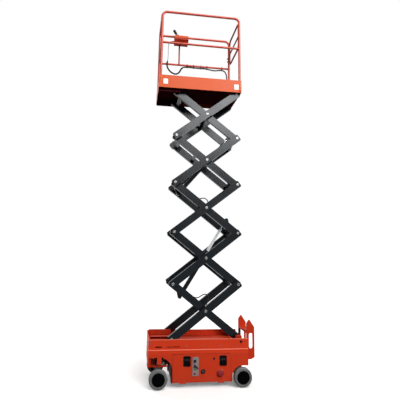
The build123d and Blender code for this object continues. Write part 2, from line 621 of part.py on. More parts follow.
def ground_controls():
    """Control strip, key switch, charge lamp and stop button on the near door."""
    face = -BODY_Y
    x, z = CONTROL_X, CONTROL_Z
    half = CONTROL_HEIGHT / 2
    plate = face - 3
    strip = slab_y(Pos(x, z) * RectangleRounded(CONTROL_WIDTH, CONTROL_HEIGHT, 6), plate, face)
    strip += rod_y(x - 7, z + half - 46, 16, plate - 4, plate)
    strip += rod_y(x - 7, z + half - 46, 12, plate - 24, plate)
    strip += rod_y(x - 6, z + half - 104, 17, plate - 10, plate)
    lever = Pos(x - 6, plate - 8, z + half - 104) * Rot(0, 35, 0)
    strip += lever * block(-8, 44, -10, 0, -8, 8)
    for drop, radius in ((137, 11), (189, 12)):
        strip += rod_y(x - 6, z + half - drop, radius + 3, plate - 3, plate)
        strip += rod_y(x - 6, z + half - drop, radius, plate - 9, plate)
    for screw_x in (x - 30, x + 30):
        for screw_z in (z - half + 10, z + half - 10):
            strip += rod_y(screw_x, screw_z, 4, plate - 2, plate)
    key_x, key_z = KEY_SWITCH
    switch = rod_y(key_x, key_z, 27, face - 5, face) + rod_y(key_x, key_z, 15, face - 12, face)
    switch += block(key_x - 2, key_x + 2, face - 26, face - 12, key_z - 11, key_z + 11)
    lamp_x, lamp_z = CHARGE_LAMP
    lamp = rod_y(lamp_x, lamp_z, 12, face - 4, face) + rod_y(lamp_x, lamp_z, 8, face - 7, face)
    stop_x, stop_z = STOP_BUTTON
    profile = outline((0, 0), (32, 0), (32, 6), (17, 6), (17, 14), (STOP_RADIUS, 14), (STOP_RADIUS, 20),
                      (STOP_RADIUS - 4, 24), (0, 26))
    button = Pos(stop_x, face, stop_z) * Rot(0, 0, 180) * revolve(profile, Axis.Y)
    return [strip, switch, lamp, button]


def ladder():
    """Rear entry ladder: two slotted side plates and two steps."""
    x0, x1 = LADDER_FRONT_X, REAR_X
    crown = x0 + LADDER_DEPTH * 0.36
    foot = x1 - LADDER_DEPTH * 0.44
    shape = outline((x0, LADDER_TOP_Z - 46), (crown - 6, LADDER_TOP_Z), (crown + 6, LADDER_TOP_Z),
                    (x1, LADDER_TOP_Z - 92), (x1, LADDER_BOTTOM_Z + 24), (foot, LADDER_BOTTOM_Z),
                    (x0, LADDER_BOTTOM_Z))
    shape = fillet(shape.vertices().filter_by(lambda v: v.Y > LADDER_BOTTOM_Z + 1), 9)
    slot_x = (x0 + x1) / 2 + 4
    shape -= Pos(slot_x, LADDER_SLOT_Z) * Rot(0, 0, 90) * SlotOverall(LADDER_SLOT, LADDER_SLOT_WIDTH)
    plate = slab_y(shape, LADDER_Y, LADDER_Y + PLATE)
    mount = block(BODY_REAR_X, x0 + 20, LADDER_Y - 30, LADDER_Y, LADDER_BOTTOM_Z + 15, TRAY_TOP_Z - PLATE)
    steps = []
    for z in STEP_HEIGHTS:
        step = block(x0 + 6, x1 - 4, -LADDER_Y, LADDER_Y, z, z + STEP_DEPTH)
        step -= block(x0 + 6 + SHEET, x1 - 4 - SHEET, -LADDER_Y, LADDER_Y, z, z + STEP_DEPTH - SHEET)
        for side in both_sides(mount):
            step -= side
        steps.append(step)
    return both_sides(plate) + both_sides(mount) + steps


def battery_pack():
    """Battery tray and cells as one block between the spines."""
    length, width, height = BATTERY
    x0, floor = DOOR_FRONT_X + BATTERY_BEHIND_DOOR, BODY_BOTTOM_Z + PLATE
    return block(x0, x0 + length, -width / 2, width / 2, floor, floor + height)


def hydraulic_unit():
    """Oil tank with the pump motor beside it."""
    length, width, height = TANK
    floor = BODY_BOTTOM_Z + PLATE
    x1 = DOOR_REAR_X - TANK_AHEAD
    x0 = x1 - length
    tank = block(x0, x1, -width / 2, width / 2, floor, floor + height)
    motor = rod_x(0, floor + MOTOR_RADIUS + 12, MOTOR_RADIUS, x0 - MOTOR_LENGTH, x0)
    foot = block(x0 - MOTOR_LENGTH + 20, x0 - 20, -MOTOR_RADIUS * 0.7, MOTOR_RADIUS * 0.7, floor, floor + 30)
    return tank + motor + foot


def rear_axle():
    """Rear axle beam with its spindles."""
    beam_z = TYRE_RADIUS
    beam = block(REAR_AXLE_X - 40, REAR_AXLE_X + 40, -270, 270, beam_z - 35, beam_z + 35)
    beam += block(REAR_AXLE_X - 30, REAR_AXLE_X + 30, -180, 180, beam_z + 35, STEER_PLATE_Z)
    spindle_end = WHEEL_Y + TYRE_WIDTH / 2 - HUB_RECESS - 14
    beam += rod_y(REAR_AXLE_X, beam_z, SPINDLE_RADIUS, -spindle_end, spindle_end)
    return beam


def steering_knuckle(side):
    """Kingpin, drop leg, spindle and steering arm of one front wheel."""
    x, y = FRONT_AXLE_X, side * KINGPIN_Y
    low, high = STEER_PLATE_Z, STEER_PLATE_Z + STEER_PLATE_T
    leg_out = WHEEL_Y - TYRE_WIDTH / 2 - 8
    y0, y1 = sorted((side * (KINGPIN_Y - 28), side * leg_out))
    knuckle = block(x - 34, x + 34, y0, y1, TYRE_RADIUS - 36, low - FACE_GAP)
    knuckle += rod_z(x, y, KINGPIN_RADIUS, low - FACE_GAP, high + FACE_GAP + 1)
    knuckle += block(x - 24, x + 24, y - 24, y + 24, high + FACE_GAP, high + 34)
    knuckle += block(x, x + STEER_ARM, y - TIE_ROD_EYE, y + TIE_ROD_EYE, high + FACE_GAP, high + 16)
    knuckle += rod_z(x + STEER_ARM, y, TIE_ROD_EYE, high + FACE_GAP, high + 16)
    knuckle += rod_z(x + STEER_ARM, y, 8, high + 16, high + 38)
    spindle_end = side * (WHEEL_Y + TYRE_WIDTH / 2 - HUB_RECESS - 14)
    knuckle += rod_y(x, TYRE_RADIUS, SPINDLE_RADIUS, side * leg_out, spindle_end)
    return knuckle


def tie_rod():
    """Bar between the two steering arms."""
    x = FRONT_AXLE_X + STEER_ARM
    z0 = STEER_PLATE_Z + STEER_PLATE_T + 16 + FACE_GAP
    z1 = z0 + 18
    rod = rod_y(x, (z0 + z1) / 2, TIE_ROD_RADIUS, 12 - KINGPIN_Y, KINGPIN_Y - 12)
    for side in (1, -1):
        rod += rod_z(x, side * KINGPIN_Y, TIE_ROD_EYE, z0, z1)
    for side in (1, -1):
        rod -= rod_z(x, side * KINGPIN_Y, 8 + RUNNING, z0 - 1, z1 + 1)
    return rod


def tyre(x, side):
    """Solid tyre with rounded shoulders."""
    y0 = WHEEL_Y - TYRE_WIDTH / 2
    y1 = WHEEL_Y + TYRE_WIDTH / 2
    shoulder = 10.0
    half = outline((RIM_RADIUS, y0), (TYRE_RADIUS - shoulder, y0), (TYRE_RADIUS - 2, y0 + shoulder),
                   (TYRE_RADIUS, y0 + 2 * shoulder), (TYRE_RADIUS, y1 - 2 * shoulder),
                   (TYRE_RADIUS - 2, y1 - shoulder), (TYRE_RADIUS - shoulder, y1), (RIM_RADIUS, y1))
    ring = revolve(half, Axis.Y)
    ring = Pos(x, 0, TYRE_RADIUS) * ring
    return ring if side > 0 else mirror(ring, Plane.XZ)


def hub(x, side):
    """Wheel disc and barrel, bored for the spindle."""
    y0 = WHEEL_Y - TYRE_WIDTH / 2
    y1 = WHEEL_Y + TYRE_WIDTH / 2 - HUB_RECESS
    rim = RIM_RADIUS
    bore = SPINDLE_RADIUS + RUNNING
    spindle_end = WHEEL_Y + TYRE_WIDTH / 2 - HUB_RECESS - 14
    half = outline((bore, y0 + 6), (46, y0 + 6), (46, y0 + 34), (rim - 8, y0 + 34), (rim - 8, y0), (rim, y0),
                   (rim, y1), (60, y1), (52, y1 + 6), (0, y1 + 6), (0, spindle_end + FACE_GAP),
                   (bore, spindle_end + FACE_GAP))
    disc = Pos(x, 0, TYRE_RADIUS) * revolve(half, Axis.Y)
    for place in PolarLocations(36, 5):
        disc += Pos(x, 0, TYRE_RADIUS) * Rot(-90, 0, 0) * place * Pos(0, 0, y1 + 8) * Cylinder(6, 6)
    return disc if side > 0 else mirror(disc, Plane.XZ)


# ---------------------------------------------------------------- platform
def deck_floor():
    """Platform floor sheet."""
    t = SHEET
    return block(DECK_FRONT_X + t, DECK_REAR_X - t, -DECK_Y + t, DECK_Y - t, DECK_Z, FLOOR_Z)


def deck_skirts():
    """Toe boards on three sides and the low sill of the entry."""
    t = SHEET
    x0, x1 = DECK_FRONT_X, DECK_REAR_X
    side = block(x0, x1, -DECK_Y, -DECK_Y + t, SKIRT_Z, TOE_TOP_Z)
    front = block(x0, x0 + t, -DECK_Y + t, DECK_Y - t, SKIRT_Z, TOE_TOP_Z)
    sill = block(x1 - t, x1, -DECK_Y + t, DECK_Y - t, SKIRT_Z, FLOOR_Z)
    return both_sides(side) + [front, sill]


def deck_frame():
    """Roller channels, fixed pivot brackets and cross beams under the floor."""
    web = OUTER_IN + FACE_GAP + ROLLER_WIDTH + 3
    x0, x1 = DECK_FRONT_X + SHEET, LEFT_X + TRACK_PAST_ROLLER
    track = roller_track(x0, x1, TOP_PIVOT_Z, web, INNER_OUT + 7)
    half = ROLLER_RADIUS + TRACK_CLEARANCE + TRACK_WALL
    track += block(x0, x1, web - 6, web + TRACK_WALL, TOP_PIVOT_Z + half, DECK_Z)
    shape = outline((PIVOT_X - 50, DECK_Z), (PIVOT_X - 30, TOP_PIVOT_Z - 24), (PIVOT_X + 24, TOP_PIVOT_Z - 24),
                    (PIVOT_X + 44, DECK_Z))
    bracket = slab_y(shape, INNER_IN, INNER_OUT)
    bracket -= rod_y(PIVOT_X, TOP_PIVOT_Z, PIN_RADIUS + RUNNING, INNER_IN, INNER_OUT)
    beams = []
    for x, half_width in ((DECK_FRONT_X + 120, web - 6), (-120.0, DECK_Y - SHEET), (250.0, DECK_Y - SHEET)):
        beams.append(block(x - 20, x + 20, -half_width, half_width, DECK_Z - 8, DECK_Z))
    return both_sides(track) + both_sides(bracket) + beams


def post_offset():
    """Distance of a guard post's middle from the skirt's outer face."""
    return SHEET + FACE_GAP + RAIL_RADIUS


def hoop(start, corner_a, corner_b, end):
    """Round tube bent twice."""
    path = FilletPolyline(start, corner_a, corner_b, end, radius=RAIL_BEND)
    return sweep(Plane(origin=start, z_dir=(0, 0, 1)) * Circle(RAIL_RADIUS), path)


def long_guard_rail(side):
    """One long guard rail: a bent hoop and its mid rail."""
    y = side * (DECK_Y - post_offset())
    x0, x1 = DECK_FRONT_X + post_offset(), DECK_REAR_X - post_offset()
    rail = hoop((x0, y, FLOOR_Z), (x0, y, TOP_RAIL_Z), (x1, y, TOP_RAIL_Z), (x1, y, FLOOR_Z))
    return rail + rod_x(y, MID_RAIL_Z, MID_RAIL_RADIUS, x0, x1)


def front_guard_rail():
    """Guard rail across the front end, between the side posts."""
    x = DECK_FRONT_X + post_offset()
    y = DECK_Y - post_offset() - 2 * RAIL_RADIUS - FACE_GAP
    rail = hoop((x, -y, FLOOR_Z), (x, -y, TOP_RAIL_Z), (x, y, TOP_RAIL_Z), (x, y, FLOOR_Z))
    return rail + rod_y(x, MID_RAIL_Z, MID_RAIL_RADIUS, -y, y)


def gate_hinge_y():
    """The gate's hinge line, clear of the far rail when the gate stands open."""
    return DECK_Y - post_offset() - RAIL_RADIUS - GATE_TUBE - 6


def gate_hinge_heights():
    """Lower faces of the gate's two hinge eyes."""
    middle = TOP_RAIL_Z - (GATE_BARS[0] + GATE_BARS[-1]) / 2
    return (middle - 130, middle + 100)


def gate_hinges():
    """Hinge brackets and pins, welded to the far entry post."""
    x, y = DECK_REAR_X - post_offset(), gate_hinge_y()
    post_face = DECK_Y - post_offset() - RAIL_RADIUS + 3
    hinges = []
    for z in gate_hinge_heights():
        bracket = block(x - 8, x + 8, y, post_face, z - FACE_GAP - 10, z - FACE_GAP)
        bracket += rod_z(x, y, 12, z - FACE_GAP - 10, z - FACE_GAP)
        bracket += rod_z(x, y, 6, z - FACE_GAP, z + 24)
        hinges.append(bracket)
    return hinges


def entry_gate():
    """Swing gate: a rounded loop with a mid bar, hung on the far entry post."""
    x, hinge_y = DECK_REAR_X - post_offset(), gate_hinge_y()
    y0, y1 = -hinge_y, hinge_y - 12 - GATE_TUBE
    z_top, z_mid, z_low = [TOP_RAIL_Z - drop for drop in GATE_BARS]
    corners = [(x, y0, z_low), (x, y1, z_low), (x, y1, z_top), (x, y0, z_top)]
    path = FilletPolyline(*corners, radius=60, close=True)
    gate = sweep(Plane(origin=path @ 0, z_dir=path % 0) * Circle(GATE_TUBE), path)
    gate += rod_y(x, z_mid, GATE_TUBE - 2, y0, y1)
    for z in gate_hinge_heights():
        gate += block(x - 7, x + 7, y1, hinge_y, z, z + 20)
        gate += rod_z(x, hinge_y, 12, z, z + 20)
        gate -= rod_z(x, hinge_y, 6 + RUNNING, z, z + 20)
    return gate


def box_place():
    """Control box: X span, its face by the far rail, and its height span."""
    return CONTROL_BOX_X, DECK_Y - post_offset() - RAIL_RADIUS - 8, (TOP_RAIL_Z - 175, TOP_RAIL_Z - 38)


def control_box():
    """Platform control box on its bracket at the far rail, with the lead's gland."""
    rail_y = DECK_Y - post_offset()
    (x0, x1), y1, (z0, z1) = box_place()
    y0 = y1 - CONTROL_BOX_DEPTH
    box = slab_x(outline((y0, z0 + 40), (y0 + 20, z1 - 20), (y1, z1), (y1, z0), (y0 + 30, z0)), x0, x1)
    post_x = x0 + 91
    box += block(post_x - 12, post_x + 12, y1 - 6, rail_y - MID_RAIL_RADIUS - FACE_GAP, MID_RAIL_Z - 12, z0 + 10)
    box += block(x0 + 31, x1 - 31, y1 - 6, y1, z1 - 30, TOP_RAIL_Z + 8)
    box += block(x0 + 31, x1 - 31, y1 - 6, rail_y - RAIL_RADIUS - FACE_GAP, TOP_RAIL_Z - 8, TOP_RAIL_Z + 8)
    gland_y, gland_z = CONTROL_CABLE[0][1:]
    box += rod_x(gland_y, gland_z, CABLE_RADIUS + 4, x0 - GLAND_LENGTH, x0)
    return box


def joystick():
    """Drive and steer lever with its boot, and the panel's push buttons."""
    (x0, x1), y1, (z0, z1) = box_place()
    y = y1 - CONTROL_BOX_DEPTH / 2
    foot = Pos(x0 + 58, y, z1 - 14)
    stick = foot * Cylinder(27, 16, align=(Align.CENTER, Align.CENTER, Align.MIN))
    lean = foot * Rot(0, -32, 0)
    stick += lean * Cylinder(10, 84, align=(Align.CENTER, Align.CENTER, Align.MIN))
    stick += lean * Pos(0, 0, 52) * Cylinder(17.5, 80, align=(Align.CENTER, Align.CENTER, Align.MIN))
    buttons = [Pos(x0 + x, y, z1 - 14) * Cylinder(13, 18, align=(Align.CENTER, Align.CENTER, Align.MIN))
               for x in (118, 152, 186)]
    solids = []
    for piece in [stick] + buttons:
        solids.append(piece - control_box())
    return solids


def cable_gland():
    """Fitting where the platform harness goes down through the floor."""
    x, y, z = HARNESS[-1]
    return rod_z(x, y, HARNESS_RADIUS + 5, FLOOR_Z, z)


# ---------------------------------------------------------------- cord routes
LOWER_HOSE = hose_route(CROSS_LUG_END, (560.0, 142.0), (592.0, 178.0), (644.0, 172.0), (670.0, 118.0),
                        (690.0, 62.0), (748.0, 40.0), (830.0, 10.0))
UPPER_HOSE = hose_route(CROSS_HIGH_END, (572.0, 128.0), (624.0, 136.0), (664.0, 106.0), (696.0, 62.0),
                        (770.0, 44.0), (846.0, 24.0), (904.0, 8.0))
CONTROL_CABLE = [(CONTROL_BOX_X[0] - GLAND_LENGTH, 280.0, 4970.0), (-492.0, 280.0, 4970.0),
                 (-515.0, 282.0, 4930.0), (-521.0, 284.0, 4855.0), (-518.0, 286.0, 4765.0),
                 (-520.0, 286.0, 4675.0), (-530.0, 286.0, 4600.0)]
HARNESS = [(-530.0, 286.0, 4600.0), (-537.2, 286.0, 4546.0), (-510.0, 290.0, 4480.0), (-452.0, 292.0, 4425.0),
           (-385.0, 294.0, 4408.0), (-333.0, 296.0, 4442.0), (-300.0, 304.0, 4525.0), (-250.0, 318.0, 4558.0),
           (-165.0, 326.0, 4563.0), (-30.0, 328.0, 4559.0), (95.0, 328.0, 4563.5), (170.0, 328.0, 4550.0),
           (240.0, 328.0, 4540.0), (305.0, 328.0, 4550.0), (362.0, 327.0, 4561.0), (420.0, 324.0, 4540.0),
           (448.0, 321.0, 4472.0), (452.5, 320.5, 4330.0), (454.0, 320.0, 4190.0), (452.0, 320.0, 4070.0),
           (452.0, 320.0, FLOOR_Z + GLAND_LENGTH)]

# ---------------------------------------------------------------- nodes
lower_place, lower_length = cylinder_frame(arm_point(1, LOWER_FOOT), arm_point(3, LOWER_HEAD))
upper_place, upper_length = cylinder_frame(arm_point(3, UPPER_FOOT), arm_point(5, UPPER_HEAD))
SIDES = (("near", -1), ("far", 1))
AXLES = (("front", FRONT_AXLE_X), ("rear", REAR_AXLE_X))

save("chassis_frame", chassis_frame())
save("side_rails", side_rails())
save("arch_panels", arch_panels())
save("steering_plate", steering_plate())
save("pivot_brackets", pivot_brackets())
save("base_tracks", base_tracks())
save("spine_plates", spine_plates())
save("wheel_housings", wheel_housings())
near_door = side_door()
near_latches = [paddle_latch(x) for x in LATCH_X]
save("near_side_door", near_door)
save("far_side_door", mirror(near_door, Plane.XZ))
save("near_door_latches", near_latches)
save("far_door_latches", [mirror(latch, Plane.XZ) for latch in near_latches])
save("ground_controls", ground_controls())
save("ladder", ladder())
save("rear_axle", rear_axle())
save("battery_pack", battery_pack())
save("hydraulic_unit", hydraulic_unit())
save("tie_rod", tie_rod())
for side_name, side in SIDES:
    save(f"{side_name}_knuckle", steering_knuckle(side))
    for axle_name, axle_x in AXLES:
        save(f"{axle_name}_{side_name}_tyre", tyre(axle_x, side))
        save(f"{axle_name}_{side_name}_hub", hub(axle_x, side))
for stage in range(1, STAGES + 1):
    save(f"inner_arms_{stage}", inner_arms(stage))
    save(f"cross_members_{stage}", cross_members(stage))
    save(f"outer_arms_{stage}", outer_arms(stage))
save("lower_barrel", lift_barrel(lower_place, LOWER_BARREL))
save("lower_rod", lift_rod(lower_place, lower_length, LOWER_BARREL))
save("upper_barrel", lift_barrel(upper_place, UPPER_BARREL))
save("upper_rod", lift_rod(upper_place, upper_length, UPPER_BARREL))
save("deck_floor", deck_floor())
save("deck_skirts", deck_skirts())
save("deck_frame", deck_frame() + [cable_gland()])
far_rail = long_guard_rail(1)
for hinge in gate_hinges():
    far_rail += hinge
save("near_guard_rail", long_guard_rail(-1))
save("far_guard_rail", far_rail)
save("front_guard_rail", front_guard_rail())
save("entry_gate", entry_gate())
save("control_box", control_box())
save("joystick", joystick())
save("control_cable", cord("control_cable", CONTROL_CABLE, CABLE_RADIUS))
save("platform_harness", cord("platform_harness", HARNESS, HARNESS_RADIUS))
save("lower_hose", lift_hose("lower_hose", 1, LOWER_HOSE))
save("upper_hose", lift_hose("upper_hose", 3, UPPER_HOSE))
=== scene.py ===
"""Looks of an electric scissor lift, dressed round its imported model."""
import json
import math

import bmesh
import bpy
from bpy.props import FloatProperty, FloatVectorProperty, IntProperty, PointerProperty
from mathutils import Matrix, Vector


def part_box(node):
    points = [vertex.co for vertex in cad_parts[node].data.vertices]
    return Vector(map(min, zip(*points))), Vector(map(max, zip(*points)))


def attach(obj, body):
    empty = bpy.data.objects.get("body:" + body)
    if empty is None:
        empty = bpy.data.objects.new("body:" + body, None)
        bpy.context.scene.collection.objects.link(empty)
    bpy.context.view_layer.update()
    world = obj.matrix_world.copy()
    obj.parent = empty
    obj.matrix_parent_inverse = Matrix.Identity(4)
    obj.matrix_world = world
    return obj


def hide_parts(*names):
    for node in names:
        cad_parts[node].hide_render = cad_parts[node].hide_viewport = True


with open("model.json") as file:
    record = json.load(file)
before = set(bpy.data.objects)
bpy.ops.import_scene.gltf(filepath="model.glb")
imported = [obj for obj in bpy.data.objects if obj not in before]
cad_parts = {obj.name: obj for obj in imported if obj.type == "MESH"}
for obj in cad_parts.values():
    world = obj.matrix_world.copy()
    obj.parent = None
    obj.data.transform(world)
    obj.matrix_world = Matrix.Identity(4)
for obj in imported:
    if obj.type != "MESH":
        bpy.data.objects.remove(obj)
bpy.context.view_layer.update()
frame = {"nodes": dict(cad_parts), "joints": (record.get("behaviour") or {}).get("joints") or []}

bl_info = {
    "name": "Scissor Lift Dresser",
    "version": (1, 0, 0),
    "blender": (4, 5, 0),
    "location": "3D View > Sidebar > Lift",
    "description": "Paints a packed scissor lift and adds its trim, cords and studio",
    "category": "Object",
}

JOINTS = {joint["name"]: joint for joint in frame["joints"]}
STAGES = 5
WHEELS = [f"{end}_{side}" for end in ("front", "rear") for side in ("near", "far")]


def spot(joint):
    """Where a hinge turns, as a vector."""
    return Vector(JOINTS[joint]["pos_m"])


CENTRE_X = spot("cross_1").x
PIVOT_X = spot("lift").x
SIDE_X = 2 * CENTRE_X - PIVOT_X
RISE = spot("cross_2").z - spot("cross_1").z
LIFT_ANGLE = math.atan2(RISE, PIVOT_X - SIDE_X)
FLOOR_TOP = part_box("deck_floor")[1].z
RAIL = 0.0175
MID_BAR = 0.0160
MID_DROP = 0.490
RAIL_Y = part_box("near_guard_rail")[1].y * -1 + RAIL
POST_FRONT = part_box("near_guard_rail")[0].x + RAIL
POST_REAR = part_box("near_guard_rail")[1].x - RAIL
TOP_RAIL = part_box("near_guard_rail")[1].z - RAIL
MID_RAIL = TOP_RAIL - MID_DROP
RAIL_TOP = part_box("side_rails")[1].z
BELT_TOP = RAIL_TOP - 0.126
BOX_LENGTH = 0.220
BOX_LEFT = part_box("control_box")[1].x - BOX_LENGTH
BOX_TOP = TOP_RAIL - 0.038

# Places on the near door, as X and Z, and heights under the top of the control strip.
DOOR_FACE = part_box("near_side_door")[0].y
STRIP_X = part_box("ground_controls")[0].x + 0.039
PLATE_RISE = 0.0036
STRIP_TOP = 0.3555
STRIP_HEIGHT = 0.219
KEY_SWITCH = (-0.008, 0.187)
CHARGE_LAMP = (0.130, 0.335)
STOP_BUTTON = (0.213, 0.170)
DIAL_DROP = 0.046
LEVER_DROP = 0.104
RAISE_DROP = 0.137
LOWER_DROP = 0.189

# Fasteners on both sides of the base and the platform, as X and Z.
RAIL_RIVETS = [(x, 0.476) for x in (-0.220, -0.011, 0.211, 0.421)]
END_RIVETS = [(-0.668, z) for z in (0.517, 0.546)]
RAIL_BOLT = (0.482, 0.527)
SKIRT_BOLTS = [(x, z) for x in (-0.648, 0.498) for z in (4.040, 4.000)]
SKIRT_PLUG = (0.4865, 3.9145)

# Trim of the platform: plates as X and Z, ties as X and drop, clips and a hinge.
PLATES = ((-0.586, 3.980), (0.4345, 3.972))
TIES = ((-0.205, 0.030), (-0.100, 0.028), (0.020, 0.031), (0.120, 0.030), (0.368, 0.030))
CLIP_HEIGHTS = (4.772, 4.720, 4.290, 4.110)
GATE_HINGE_Y = 0.282


# Settings
def colour(name, description, default):
    """A colour that a user would change."""
    return FloatVectorProperty(name=name, description=description, subtype="COLOR", size=3, min=0.0, max=1.0,
                               default=default)


def length(name, description, default):
    """A length that a user would change."""
    return FloatProperty(name=name, description=description, default=default, min=0.0, unit="LENGTH")


def power(name, description, default):
    """A lamp's power."""
    return FloatProperty(name=name, description=description, default=default, unit="POWER")


def angle(name, description, default):
    """An angle of the camera."""
    return FloatProperty(name=name, description=description, default=default, subtype="ANGLE")


class LiftPaints(bpy.types.PropertyGroup):
    """Colours of the lift's finishes."""
    body: colour("Body", "Gloss paint of the base, ladder, platform and rails", (0.600, 0.040, 0.010))
    arms: colour("Arms", "Gloss paint of the scissor arms", (0.001, 0.0035, 0.006))
    rails: colour("Rails", "Gloss paint of the guard rails", (0.600, 0.075, 0.040))
    deck: colour("Platform", "Gloss paint of the toe boards and of the floor", (0.720, 0.098, 0.016))
    # Painted shade: this dark tone stands for the body paint in shade under the platform and inside the
    # base.
    underside_shade: colour("Underside", "Paint under the platform and inside the base", (0.110, 0.013, 0.018))
    tyre: colour("Tyre", "Grey non-marking rubber", (0.150, 0.155, 0.155))
    plastic: colour("Plastic", "Latches, switches and grips", (0.005, 0.005, 0.006))
    strip: colour("Control strip", "Brushed plate behind the switches", (0.230, 0.215, 0.205))
    steel: colour("Steel", "Pins, bolts and rivets", (0.130, 0.133, 0.130))
    label: colour("Label", "Blank plates on the toe board", (0.850, 0.830, 0.780))
    go: colour("Raise button", "Green push button", (0.010, 0.130, 0.050))
    halt: colour("Stop buttons", "Red push buttons", (0.260, 0.008, 0.014))


class LiftTrim(bpy.types.PropertyGroup):
    """Sizes of the trim."""
    label_width: length("Label width", "Width of a blank plate on the toe board", 0.066)
    label_height: length("Label height", "Height of a blank plate on the toe board", 0.078)
    weld: length("Weld bead", "Radius of the fillet weld round a rail", 0.0032)
    cap_radius: length("Pin cap", "Radius of the cap on a pin's head", 0.0195)
    tie_width: length("Tie width", "Width of a strap round the harness", 0.008)
    sleeve: length("Sleeve length", "Length of a crimped sleeve on a hose", 0.034)
    grip_pitch: length("Grip pitch", "Distance between the lozenges of the floor", 0.032)
    boot_folds: IntProperty(name="Boot folds", description="Folds of the joystick's boot", default=4,
                            min=1, max=9)


class LiftStudio(bpy.types.PropertyGroup):
    """Lamps and the camera."""
    sky: power("High lamp", "Power of the tall lamp in front", 2500.0)
    sheen: power("Sheen panel", "Power of the panel that gloss paint mirrors", 6500.0)
    top: power("Top lamp", "Power of the lamp overhead", 330.0)
    back: power("Back lamp", "Power of the tall lamp behind", 1900.0)
    room: FloatProperty(name="Room", description="Strength of the light all round", default=0.11)
    eye: FloatVectorProperty(name="Camera", description="Where the camera stands", subtype="TRANSLATION",
                             unit="LENGTH", size=3, default=(-0.9061, -5.4639, 1.6056))
    turn: angle("Turn", "Camera's turn towards +X", 0.1446)
    tilt: angle("Tilt", "Camera's tilt upwards", 0.2031)
    roll: angle("Roll", "Camera's roll", 0.0156)
    lens: FloatProperty(name="Lens", description="Focal length in millimetres", default=35.1)


# Shader nodes
def sign(operation, swapped=False):
    """A method that puts a signal, and what stands beside it, into a maths node."""
    def method(*values):
        return values[0].maths(operation, *(reversed(values) if swapped else values))
    return method


class Signal:
    """A socket that takes part in arithmetic."""

    def __init__(self, finish, socket):
        self.finish = finish
        self.socket = socket

    def maths(self, operation, *values):
        inputs = dict(enumerate(values))
        return self.finish.node("Math", {"operation": operation}, inputs)

    __add__ = sign("ADD")
    __radd__ = sign("ADD", swapped=True)
    __sub__ = sign("SUBTRACT")
    __rsub__ = sign("SUBTRACT", swapped=True)
    __mul__ = sign("MULTIPLY")
    __rmul__ = sign("MULTIPLY", swapped=True)
    __pow__ = sign("POWER")
    __mod__ = sign("FLOORED_MODULO")
    __lt__ = sign("LESS_THAN")
    __gt__ = sign("GREATER_THAN")
    __abs__ = sign("ABSOLUTE")


class Weave:
    """The nodes of a material or of the world."""

    def __init__(self, owner):
        owner.use_nodes = True
        self.tree = owner.node_tree
        self.tree.nodes.clear()

    def node(self, kind, settings, inputs, output=0):
        """Adds a node: its settings first, then the values or links of its sockets."""
        made = self.tree.nodes.new(f"ShaderNode{kind}")
        for key, value in settings.items():
            if key == "stops":
                for stop, (place, shade) in zip(made.color_ramp.elements, value):
                    stop.position, stop.color = place, shade
            else:
                setattr(made, key, value)
        for key, value in inputs.items():
            if isinstance(value, Signal):
                self.tree.links.new(value.socket, made.inputs[key])
            else:
                made.inputs[key].default_value = value
        return Signal(self, made.outputs[output])

    def place(self):
        """Object coordinates."""
        return self.node("TexCoord", {}, {}, "Object")

    def axes(self):
        """The three object coordinates, one by one."""
        split = self.tree.nodes.new("ShaderNodeSeparateXYZ")
        self.tree.links.new(self.place().socket, split.inputs[0])
        return [Signal(self, socket) for socket in split.outputs]

    def noise(self, scale, detail=3.0, stretch=(1.0, 1.0, 1.0)):
        """Fractal noise on object coordinates."""
        where = self.node("Mapping", {}, {"Vector": self.place(), "Scale": stretch})
        return self.node("TexNoise", {}, {"Vector": where, "Scale": scale, "Detail": detail})

    def window(self, value, low, high):
        """Rises smoothly from 0 to 1 between two values."""
        return self.node("MapRange", {"interpolation_type": "SMOOTHSTEP"},
                         {"Value": value, "From Min": low, "From Max": high})

    def band(self, value, start, full, fade, end):
        """Rises from 0 to 1 and falls to 0 again."""
        return self.window(value, start, full) * (1.0 - self.window(value, fade, end))

    def mix(self, share, one, two):
        """Blend of two colours."""
        return self.node("Mix", {"data_type": "RGBA"}, {0: share, 6: one, 7: two}, 2)

    def inside(self, low, high):
        """1 inside a box of object coordinates, 0 outside it."""
        share = 1.0
        for axis, least, most in zip(self.axes(), low, high):
            share = share * (axis > least) * (axis < most)
        return share

    def rays(self):
        """1 for what the camera sees, straight or through glass, and 1 for what a gloss surface mirrors."""
        straight, mirrored, through = (self.node("LightPath", {}, {}, f"Is {kind} Ray")
                                       for kind in ("Camera", "Glossy", "Transmission"))
        return straight.maths("MAXIMUM", straight, through), mirrored

    def end(self, kind, signal):
        """Closes the tree with its output."""
        self.tree.links.new(signal.socket, self.tree.nodes.new(f"ShaderNode{kind}").inputs[0])


COAT_ROUGHNESS = 0.12


